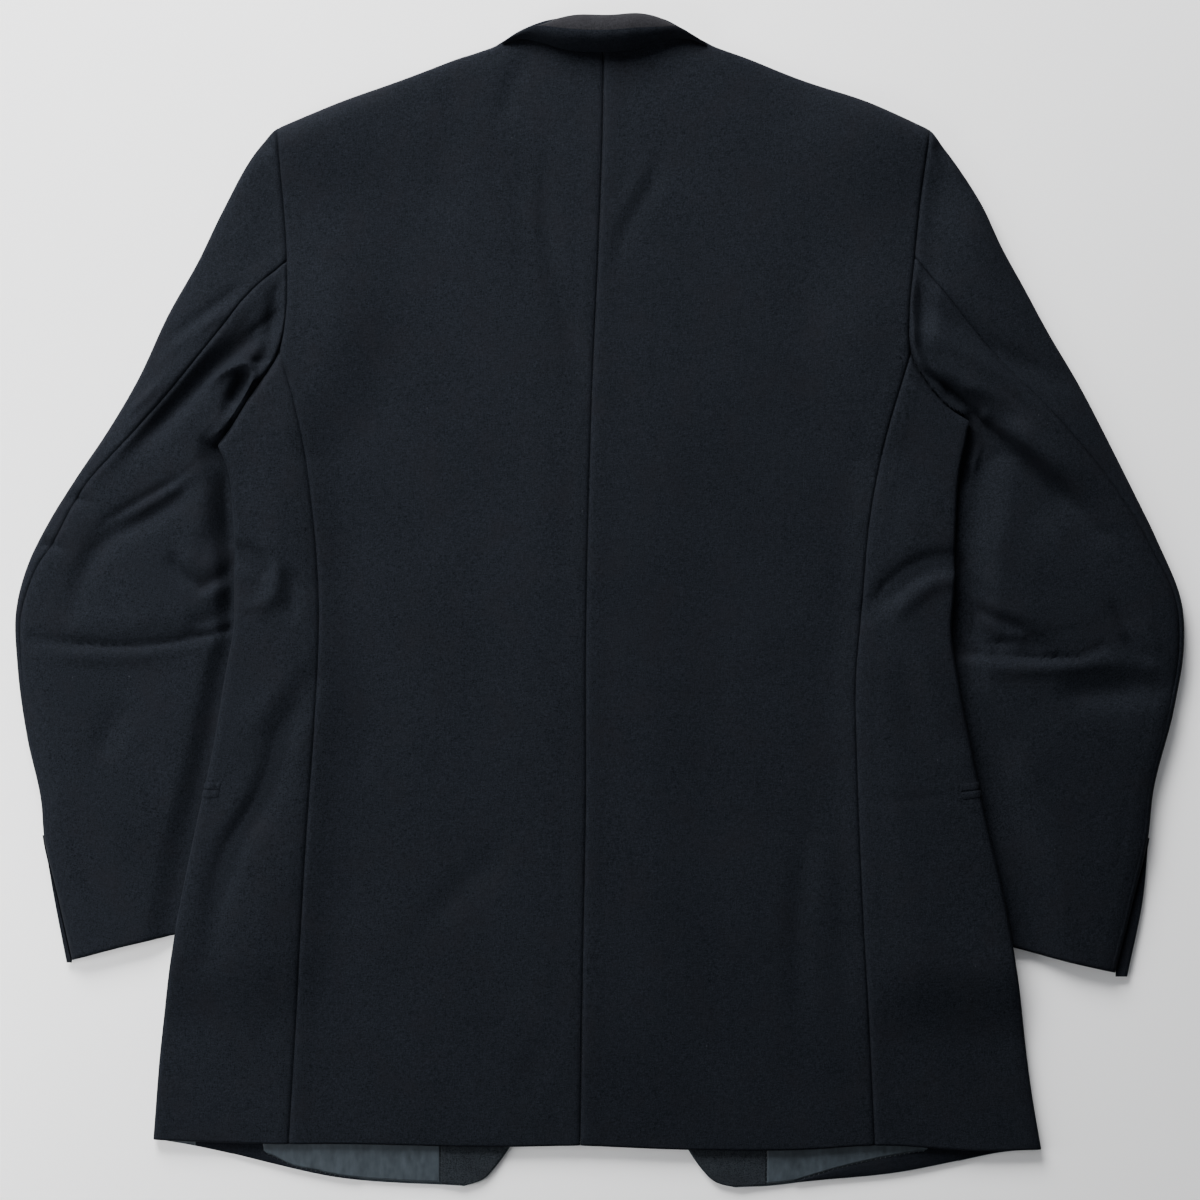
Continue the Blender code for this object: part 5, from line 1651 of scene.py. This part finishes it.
def spread(start: Array, end: Array, count: int, fine_start: bool, fine_end: bool) -> Array:
    """Rows of places between two distances, closer together at a seam.

    Args:
        start, end: the distances, one for each row.
        count: how many runs each row has.
        fine_start, fine_end: whether a seam lies there.

    Returns:
        Rows of count + 1 distances.
    """
    length = np.abs(end - start)
    fine = np.concatenate([[0], np.cumsum(EDGE_STEPS)])
    rows = []
    for size in length:
        cluster = fine * min(1.0, size / (3 * fine[-1]))
        low = cluster if fine_start else np.array([0.0])
        high = size - cluster[::-1] if fine_end else np.array([size])
        middle = np.linspace(low[-1], high[0], count + 3 - len(low) - len(high))
        rows.append(np.concatenate([low[:-1], middle, high[1:]]))
    return start[:, None] + np.sign(end - start)[:, None] * np.array(rows)


@dataclass
class Collar:
    """The collar behind the neck: a stand that leans back to its crest, and the fall that turns over it."""

    maker: Maker
    base: Places = ((-70, 397.6), (-58, 402.3), (-45.8, 407), (-30, 414.6), (-22, 416.6), (7, 417.2),
                    (32, 418), (43, 415), (55.2, 407), (65, 402), (76, 396.4))
    crest: Places = ((-70.2, 397.4), (-58.2, 402), (-46, 406.4), (-28.3, 404.4), (-20, 403.3), (5, 402.4),
                     (31, 404.6), (42, 405.4), (55.2, 406.2), (65.2, 401.8), (76.2, 396.2))
    edge: Places = ((-69.5, 396), (-56, 399.6), (-44, 397.4), (-31, 393.5), (-19, 391), (3, 390), (26, 392.4),
                    (42, 397), (55, 399.8), (66, 399), (76, 394.8))
    low: Pair = (2.6, 3.8)
    ends: float = 6.6
    crest_height: float = 24.0
    swell: float = 0.62
    rest: float = 1.1
    crest_gap: float = 0.05
    fall_turn: float = 74.0
    steps: int = 15
    waves: tuple[Triple, Triple] = ((0.35, 23.0, 0.0), (0.2, 51.0, 1.0))
    stand_cut: Pair = (0.155, 0.0225)
    fall_cut: Pair = (0.145, 0.0195)

    def build(self) -> None:
        """Makes the stand and the fall."""
        share = shares(150.0, 1.6)
        base, crest, edge = (self.line(p, share) for p in (self.base, self.crest, self.edge))
        swell = np.sin(np.pi * share) ** self.swell
        low = self.low[0] + (self.low[1] - self.low[0]) * swell
        high = self.ends + (self.crest_height - self.ends) * swell
        for rise, pitch, start in self.waves:
            high = high + rise * np.sin(share * pitch + start) * swell
        rest = np.minimum(FORM.top(edge[:, 0], edge[:, 1]) + self.rest, high - FORM.lapel)
        # the stand's lighter finish is partly undercollar felt and partly painted light
        self.turn("collar_stand", base, crest, low, high, math.radians(90), self.stand_cut,
                  self.maker.finishes.felt_and_painted_light)
        away = crest + unit(edge - crest) * self.crest_gap
        self.turn("collar_fall", away, away + edge - crest, high, rest, math.radians(self.fall_turn),
                  self.fall_cut, self.maker.finishes.body)

    @staticmethod
    def line(places: Places, share: Array) -> Array:
        """Places on a line across the neck.

        Args:
            places: the line's table.
            share: shares of its way from left to right.

        Returns:
            The places.
        """
        curve = Curve(places)
        x = places[0][0] + (places[-1][0] - places[0][0]) * share
        return np.column_stack([x, curve.y_at(x)])

    def turn(self, node: str, start: Array, end: Array, low: Array, high: Array, most: float,
             flat: Pair, cloth: Material) -> None:
        """Makes one leaf of the collar, which turns over a quarter circle or less.

        Args:
            node: the solid that it stands for.
            start, end: its first and its last line in plan.
            low, high: the heights of the two lines.
            most: the angle in radians through which it turns; a full quarter rises, and less falls.
            flat: the cut's width and length.
            cloth: its finish.
        """
        way = unit(end - start)
        rises = most > math.radians(89)
        outer, inner = [], []
        for turn in np.linspace(0, most, self.steps):
            if rises:
                plan = start + (end - start) * (1 - math.cos(turn))
                z = low + (high - low) * math.sin(turn)
                normal = np.column_stack([-way * math.cos(turn), np.full(len(plan), math.sin(turn))])
            else:
                plan = start + (end - start) * math.sin(turn) / math.sin(most)
                z = low - (low - high) * (1 - math.cos(turn)) / (1 - math.cos(most))
                normal = np.column_stack([way * math.sin(turn), np.full(len(plan), math.cos(turn))])
            place = np.column_stack([plan, z])
            outer.append(place)
            inner.append(place - normal * FORM.cloth)
        piece = shell(f"{node}_piece", np.array(outer), np.array(inner), cloth)
        self.maker.cloth(piece, node, flat, flat[0] * flat[1], "folded")


# how much of a plate's wall its upper edge rounds down, and how much of that its lower edge rises
PLATE_ROUND = (0.55, 0.2)


def plate(name: str, plan: Array, low: Array | float, wall: float, cloth: Material,
          edge: float = 1.2) -> Object:
    """A flat piece of cloth with rounded upper edges.

    Args:
        name: the piece's name.
        plan: rows by columns by 2.
        low: the height of its lower side.
        wall: its thickness.
        cloth: its finish.
        edge: how far in its edges round down.

    Returns:
        The piece.
    """
    ring = np.concatenate([plan[0], plan[1:, -1], plan[-1, -2::-1], plan[-2::-1, 0]])
    away, _, _ = Curve.straight(ring).nearest(plan[..., 0], plan[..., 1])
    drop = PLATE_ROUND[0] * wall * (1 - rounded(away / edge))
    return shell(name, raised(plan, low + wall - drop), raised(plan, low + PLATE_ROUND[1] * drop), cloth)


def between(first: Array, last: Array, share: Array) -> Array:
    """Rows of places from one line to another."""
    v = share[:, None, None]
    return first[None] * (1 - v) + last[None] * v


@dataclass
class Inside:
    """What shows of a front's inside below the back's hem: facing, lining and turned-up hem."""

    maker: Maker
    cut: Cut
    top: float = -352.0
    hem_inset: float = 1.2
    turn_up_inset: float = 0.6
    turn_up_least: float = 0.9
    turn_up_top: float = -381.0
    least_cut: float = 0.01
    ripples: tuple[tuple[int, Pair, float], ...] = ((31, (9.0, 26.0), 14.0), (32, (17.0, 34.0), -9.0))
    lining_ripple: float = 0.26
    edge_round: float = 0.9

    def hem_y(self, x: Array) -> Array:
        """The front hem's y at each x."""
        return self.cut.curve("front_hem").y_at(x)

    def strip(self, name: str, node: str, plan: Array, cloth: Material, slot: str = SUITING,
              ripple: float = 0.0) -> None:
        """Makes one flat piece on the front's inside.

        Args:
            name, node: the names of the piece and of its solid, without the side.
            plan: rows by columns by 2.
            cloth: its finish.
            slot: a material slot's name, handed on to the maker.
            ripple: the height of its long soft ripples, where it hangs loose.
        """
        x, y = plan[..., 0], plan[..., 1]
        wave = total([Unevenness(seed, cell, ripple, turn) for seed, cell, turn in self.ripples], x, y)
        low = FORM.on_front(self.cut, x, y) + np.maximum(wave, 0)
        piece = plate(f"{name}_{self.cut.name}", plan, low, FORM.trim, cloth, self.edge_round)
        across, down = (np.linalg.norm(np.diff(plan, axis=k), axis=-1).sum(axis=k) * MM for k in (1, 0))
        flat = (float(across.max()), max(float(down.max()), self.least_cut))
        whole = flat[0] * flat[1]
        area = float(np.clip(across.mean() * down.mean(), 0.301 * whole, 0.999 * whole))
        self.maker.cloth(piece, f"{node}_{self.cut.name}", flat, area, slot=slot)

    def build(self) -> None:
        """Makes the facing, the lining and the turned-up hem."""
        cut, s = self.cut, self.cut.sign
        finishes = self.maker.finishes
        lining_side, lining_mid = cut.lining
        edge, hem = cut.curve("front_edge"), cut.curve("front_hem")
        v = shares(66.0, 2.2)
        right = edge.down(self.top + (edge.p[-1][1] - self.top) * v) + np.array([s, 0.0])
        right[-1] = edge.p[-1] + np.array([s, self.hem_inset])
        seam_low = self.hem_y(lining_mid) + self.hem_inset
        left = np.column_stack([np.full(len(v), lining_mid - s * FORM.gap),
                                self.top + (seam_low - self.top) * v])
        low = straight(left[-1], right[-1], v)
        low[:, 1] = self.hem_y(low[:, 0]) + self.hem_inset
        self.strip("inner_facing", "facing", patch(straight(left[0], right[0], v), low, left, right, v, v),
                   finishes.facing)

        turn = Curve(cut.turn_up)
        x = lining_side + (lining_mid + s * FORM.gap - lining_side) * shares(125.0, 1.5)
        least = self.hem_y(x) + self.turn_up_inset + self.turn_up_least + FORM.gap
        tail = np.abs(x) < abs(turn.p[-1][0])
        y = np.where(tail, least, np.maximum(turn.y_at(x), least)) + FORM.gap
        plan = between(np.column_stack([x, np.full(len(x), self.top)]), np.column_stack([x, y]),
                       shares(60.0, 2.6))
        self.strip("inner_lining", "lining", plan, finishes.satin, "lining_satin", self.lining_ripple)

        x = turn.p[0][0] + (turn.p[-1][0] - turn.p[0][0]) * shares(120.0, 2.0)
        beyond = np.abs(x) > abs(hem.p[0][0])
        lower = np.where(beyond, cut.curve("side_hem").y_at(x), self.hem_y(x)) + self.turn_up_inset
        upper = np.maximum(turn.y_at(x) - FORM.gap, lower + self.turn_up_least)
        beside = ramp(np.abs(x), abs(lining_side) - 3, abs(lining_side) + 2)
        upper = upper + (np.maximum(self.turn_up_top, lower + self.turn_up_least) - upper) * beside
        plan = between(np.column_stack([x, upper]), np.column_stack([x, lower]), np.linspace(0, 1, 6))
        # the turned-up hem gets the darker wool copy: its colour is painted shade
        self.strip("hem_turn_up", "turn_up", plan, finishes.shade)


@dataclass
class Pocket:
    """The pocket's two jets, which go round the side fold; they lie on the panels' own places."""

    maker: Maker
    side_body: SideBody
    slit: float = 0.8
    width: float = 5.0
    lift: float = 0.05
    wall: float = 0.6
    inner_end: float = 157.0
    start: float = 0.915
    size: CutSize = ((0.15, 0.012), 0.00074)

    def build(self) -> None:
        """Makes the upper and the lower jet."""
        cut = self.side_body.cut
        down = np.array([0.0, 0.0, -1.0])
        high, low = self.side_body.level
        for name, lip in (("upper", 1), ("lower", -1)):
            near, far = lip * self.slit / 2, lip * (self.slit / 2 + self.width)
            across = np.linspace(0, 1, 9)
            y = FORM.pocket_y + near + (far - near) * across
            plan, normal, angle = self.side_body.rows(1 + (high - y) / (high - low))
            loop = self.side_body.surface(plan, angle)
            first = int(int(np.argmax(angle < math.pi / 2)) * self.start)
            loop, normal = loop[:, first:-1], normal[:, first:-1]
            seam_x = cut.inward("front_seam").x_at(y)
            x = seam_x[:, None] + (cut.sign * self.inner_end - seam_x[:, None]) * np.linspace(0.02, 1, 16)
            rows = np.stack([x, np.repeat(y[:, None], x.shape[1], 1)], axis=-1)
            flat = raised(rows, FORM.base(x, rows[..., 1]) + FORM.front_rise(cut, x, rows[..., 1]))
            loop = np.concatenate([loop, flat], axis=1)
            normal = np.concatenate([normal, np.broadcast_to(down, flat.shape)], axis=1)
            bulge = 0.45 + 0.55 * np.sqrt(1 - (2 * across - 1) ** 2)
            outer = loop + normal * (self.lift + self.wall * bulge)[:, None, None]
            piece = shell(f"pocket_lip_{name}_{cut.name}", outer, loop + normal * self.lift,
                          self.maker.finishes.body)
            self.maker.cloth(piece, f"pocket_jet_{name}_{cut.name}", *self.size, "folded")


def tubes(name: str, routes: Sequence[Array], radius: float, thread: Material,
          sides: int = 6) -> Object:
    """Joined threads along routes.

    Args:
        name: the piece's name.
        routes: each is places by 3, in millimetres.
        radius: the thread's radius.
        thread: the finish.
        sides: how many sides each thread has.

    Returns:
        The piece.
    """
    points, faces, first = [], [], 0
    turns = around(sides)
    for route in routes:
        run = unit(np.gradient(route, axis=0))
        up = np.array([0.0, 0.0, 1.0]) if abs(run[:, 2]).max() < 0.9 else np.array([1.0, 0.0, 0.0])
        one = unit(np.cross(run, up))
        two = np.cross(one, run)
        taper = radius * np.sqrt(np.clip(1 - np.linspace(-1, 1, len(route)) ** 8, 0.1, 1))[:, None, None]
        ring = (one[:, None] * np.cos(turns)[None, :, None] + two[:, None] * np.sin(turns)[None, :, None])
        points.append((route[:, None] + ring * taper).reshape(-1, 3))
        k = first + np.arange(len(route) * sides).reshape(len(route), sides)
        ends = (k[0], k[-1][::-1])
        caps = [np.stack([end[0], end[j], end[j + 1]]) for end in ends for j in range(1, sides - 1)]
        faces += [bands(k), np.array(caps)]
        first += len(route) * sides
    return made_mesh(name, np.concatenate(points), faces, [thread], [0] * len(faces))


@dataclass
class Buttons:
    """The two front buttons, face down under the left front, with their thread and buttonholes."""

    maker: Maker
    radius: float = 10.0
    wall: float = 2.3
    dish: float = 1.2
    bevel: float = 0.7
    rim: float = 9.0
    dish_round: float = 1.1
    hole: float = 1.0
    hole_apart: float = 1.9
    sides: int = 48
    hole_sides: int = 16
    strands: Triple = (-0.35, 0.0, 0.35)
    buttonhole: Pair = (6.0, -19.0)
    eye: float = 2.2
    leg: float = 0.7
    stitch: float = 1.7
    stitches: int = 110

    def profile(self) -> list[Pair]:
        """The button's turned outline.

        Returns:
            Radius and height at each point, from its face's middle to its back's.
        """
        arc = np.radians(np.arange(0, 91, 15))
        b, r = self.bevel, self.dish_round
        flat = self.rim - 2 * r
        line = [(0.0, self.dish), (flat, self.dish)]
        line += [(flat + r * math.sin(a), r * math.cos(a) + self.dish - r) for a in arc[1:4]]
        line += [(self.rim - 0.5, 0.0)]
        line += [(self.radius - b + b * math.sin(a), b - b * math.cos(a)) for a in arc]
        line += [(self.radius - b + b * math.cos(a), self.wall - b + b * math.sin(a)) for a in arc]
        return line + [(0.0, self.wall)]

    def build_button(self, name: str, y: float) -> None:
        """Makes one button with four holes, and its thread.

        Args:
            name: the button's name.
            y: where it is sewn.
        """
        turns = around(self.sides)
        outline = self.profile()
        around_it = [(r * math.cos(t), y + r * math.sin(t), z) for r, z in outline[1:-1] for t in turns]
        points = np.array([(0.0, y, outline[0][1]), *around_it, (0.0, y, outline[-1][1])])
        rings = 1 + np.arange(len(around_it)).reshape(-1, self.sides)
        after = np.roll(rings, -1, axis=1)
        middle = np.zeros(self.sides, int)
        faces = [bands(rings)[:, ::-1], np.stack([middle, after[0], rings[0]], axis=-1),
                 np.stack([middle + len(points) - 1, rings[-1], after[-1]], axis=-1)]
        piece = made_mesh(name, points, faces, [self.maker.finishes.horn], (0, 0, 0), 40)
        self.pierce(piece, y)
        self.maker.place(piece, "horn_button", name.replace("sewn", "front"))
        self.build_thread(name, y)

    def hole_places(self, y: float) -> list[Pair]:
        """Plan places of the four holes."""
        return [(i * self.hole_apart, y + j * self.hole_apart) for i in (-1, 1) for j in (-1, 1)]

    def pierce(self, piece: Object, y: float) -> None:
        """Cuts the four holes.

        Args:
            piece: the button.
            y: where it is sewn.
        """
        count = self.hole_sides
        turns = around(count)
        points, faces = [], []
        for k, (hx, hy) in enumerate(self.hole_places(y)):
            for z in (-1.0, self.wall + 1.0):
                points += [(hx + self.hole * math.cos(t), hy + self.hole * math.sin(t), z) for t in turns]
            low = 2 * count * k + np.arange(count)
            faces += [tuple(low[::-1]), tuple(low + count)]
            faces += [(a, b, b + count, a + count) for a, b in zip(low, np.roll(low, -1))]
        mesh = bpy.data.meshes.new("hole_cutter")
        mesh.from_pydata((np.array(points) * MM).tolist(), [], [[int(v) for v in face] for face in faces])
        cutter = linked("hole_cutter", mesh)
        pierced = piece.modifiers.new("holes", "BOOLEAN")
        pierced.operation = "DIFFERENCE"
        pierced.solver = "EXACT"
        pierced.object = cutter
        bpy.context.view_layer.update()
        made = bpy.data.meshes.new_from_object(piece.evaluated_get(bpy.context.evaluated_depsgraph_get()))
        piece.modifiers.clear()
        piece.data = made
        bpy.data.objects.remove(cutter)

    def build_thread(self, name: str, y: float) -> None:
        """Makes the thread that holds a button: two pairs of stitches across the holes.

        Args:
            name: the button's name.
            y: where it is sewn.
        """
        routes = []
        bow = np.linspace(-1, 1, 9)
        for side in (-1, 1):
            for strand in self.strands:
                x = np.full(9, side * self.hole_apart + strand)
                z = self.dish - 0.25 + (bow**4) * 1.3
                routes.append(np.column_stack([x, y + bow * self.hole_apart, z]))
        piece = tubes(f"{name}_thread", routes, 0.22, self.maker.finishes.thread)
        self.maker.place(piece, SUITING)

    def build_hole(self, name: str, y: float) -> None:
        """Makes a buttonhole's ring of close stitches on the left front, just over its button.

        Args:
            name: the buttonhole's name.
            y: where its button is sewn.
        """
        start, end = self.buttonhole
        turn = np.radians(np.linspace(-120, 120, 13))
        eye = np.column_stack([start - self.eye + self.eye * np.cos(turn), self.eye * np.sin(turn)])
        legs = np.linspace(start - 4.5, end, 24)
        ring = np.concatenate([np.column_stack([legs[::-1], np.full(24, -self.leg)]), eye,
                               np.column_stack([legs, np.full(24, self.leg)])])
        place = Curve.straight(ring).at(np.linspace(0, 1, self.stitches))
        out = unit(np.gradient(place, axis=0))
        out = np.stack([out[:, 1], -out[:, 0]], axis=-1)
        routes = []
        for p, n in zip(place, out):
            across = p + n * np.linspace(0, self.stitch, 4)[:, None]
            x, yy = across[:, 0], y + across[:, 1]
            z = FORM.front_rise(LEFT, x, yy) - 0.06 - 0.12 * np.sin(np.linspace(0, np.pi, 4))
            routes.append(np.column_stack([x, yy, z]))
        piece = tubes(f"buttonhole_{name}", routes, 0.2, self.maker.finishes.thread, 5)
        self.maker.place(piece, SUITING)

    def build(self) -> None:
        """Makes both buttons and both buttonholes."""
        for name, y in zip(("top", "low"), FORM.button_places):
            self.build_button(f"sewn_button_{name}", y)
            self.build_hole(name, y)


@dataclass
class Felling:
    """Small hand stitches that hold the lining's edges to the facing and to the turned-up hem."""

    maker: Maker
    cut: Cut
    spacing: float = 3.4
    length: float = 1.3
    above: float = 0.1
    arch: float = 0.35

    def build(self) -> None:
        """Makes the stitches of one front."""
        cut, s = self.cut, self.cut.sign
        lining_side, lining_mid = cut.lining
        turn = Curve(cut.turn_up)
        seam_y = np.arange(-395.0, cut.curve("front_hem").y_at(lining_mid) + 3, -self.spacing)
        places = [(lining_mid, y, s * 0.9, 0.3) for y in seam_y]
        x = np.arange(abs(lining_side) - 4, abs(turn.p[-1][0]) + 4, -self.spacing) * s
        places += [(float(px), float(turn.y_at(px)) - 0.2, 0.3, 0.9) for px in x]
        routes = []
        for px, py, dx, dy in places:
            t = np.linspace(-0.5, 0.5, 4) * self.length
            x, y = px + dx * t, py + dy * t
            z = FORM.on_front(cut, x, y) + FORM.trim + self.above - self.arch * (2 * t / self.length) ** 2
            routes.append(np.column_stack([x, y, z]))
        piece = tubes(f"felling_stitches_{cut.name}", routes, 0.18, self.maker.finishes.thread, 5)
        self.maker.place(piece, "lining_satin")


@dataclass
class Studio:
    """The pale floor, the soft light and the camera straight above."""

    height: float = 1.67
    lens: float = 70.0
    floor_tone: float = 0.92
    floor_half: float = 4.0
    floor_low: float = -0.0004
    room_colour: Triple = (0.92, 0.95, 1.0)
    room_strength: float = 0.16
    lights: tuple[tuple[str, Triple, Triple, Pair, float], ...] = (
        ("key_light", (-0.70, 1.68, 1.00), (-0.05, 0.0, 0.0), (1.4, 0.9), 140.0),
        ("side_light", (-0.85, -0.30, 0.42), (-0.30, -0.1, 0.0), (0.5, 0.8), 9.0),
        ("fill_light", (0.0, 0.0, 3.0), (0.0, 0.0, 0.0), (2.4, 2.4), 7.0),
    )

    def build(self) -> None:
        """Sets up the floor, the light and the camera."""
        self.build_floor()
        for light in self.lights:
            self.light(*light)
        world = bpy.data.worlds.new("pale_room")
        world.use_nodes = True
        background = world.node_tree.nodes["Background"].inputs
        background["Color"].default_value = (*self.room_colour, 1.0)
        background["Strength"].default_value = self.room_strength
        bpy.context.scene.world = world
        camera = bpy.data.cameras.new("overhead_camera")
        camera.lens, camera.sensor_width = self.lens, 36.0
        holder = linked("overhead_camera", camera)
        holder.location = (0.0, 0.0, self.height)
        bpy.context.scene.camera = holder

    def build_floor(self) -> None:
        """Makes the floor, with a faint mottle."""
        mesh = bpy.data.meshes.new("studio_floor")
        half, low = self.floor_half, self.floor_low
        corners = [(-half, -half, low), (half, -half, low), (half, half, low), (-half, half, low)]
        mesh.from_pydata(corners, [], [(0, 1, 2, 3)])
        n = Nodes("pale_floor")
        vector, _, _ = n.places()
        tone = self.floor_tone
        shade = n.mix(n.noise(vector, 240.0), (tone, tone, tone), (tone * 1.03, tone * 1.03, tone * 1.04))
        n.surface(Base_Color=shade, Roughness=0.9)
        mesh.materials.append(n.material)
        floor = linked("studio_floor", mesh)

    def light(self, name: str, place: Triple, aim: Triple,
              size: Pair, power: float) -> None:
        """Hangs a soft rectangular light.

        Args:
            name: its name.
            place: where it hangs, in metres.
            aim: what it points at.
            size: its width and length in metres.
            power: its strength in watts.
        """
        lamp = bpy.data.lights.new(name, "AREA")
        lamp.shape, lamp.size, lamp.size_y, lamp.energy = "RECTANGLE", size[0], size[1], power
        holder = linked(name, lamp)
        holder.location = place
        holder.rotation_euler = (Vector(aim) - Vector(place)).to_track_quat("-Z", "Y").to_euler()


def main() -> None:
    """Builds the jacket, the floor, the light and the camera, and reports each piece."""
    logging.basicConfig(level=logging.INFO, format="%(message)s")
    maker = Maker(Finishes())
    for cut in (LEFT, RIGHT):
        Front(maker, cut).build()
        Lapel(maker, cut).build()
        Sleeve(maker, cut).build()
        side_body = SideBody(maker, cut)
        side_body.build()
        Pocket(maker, side_body).build()
        Inside(maker, cut).build()
        Felling(maker, cut).build()
    for cut in (LEFT, RIGHT):
        Back(maker, cut).build()
    Collar(maker).build()
    Buttons(maker).build()
    Studio().build()
    log.info("%d pieces", len(maker.made))


if __name__ == "__main__":
    main()
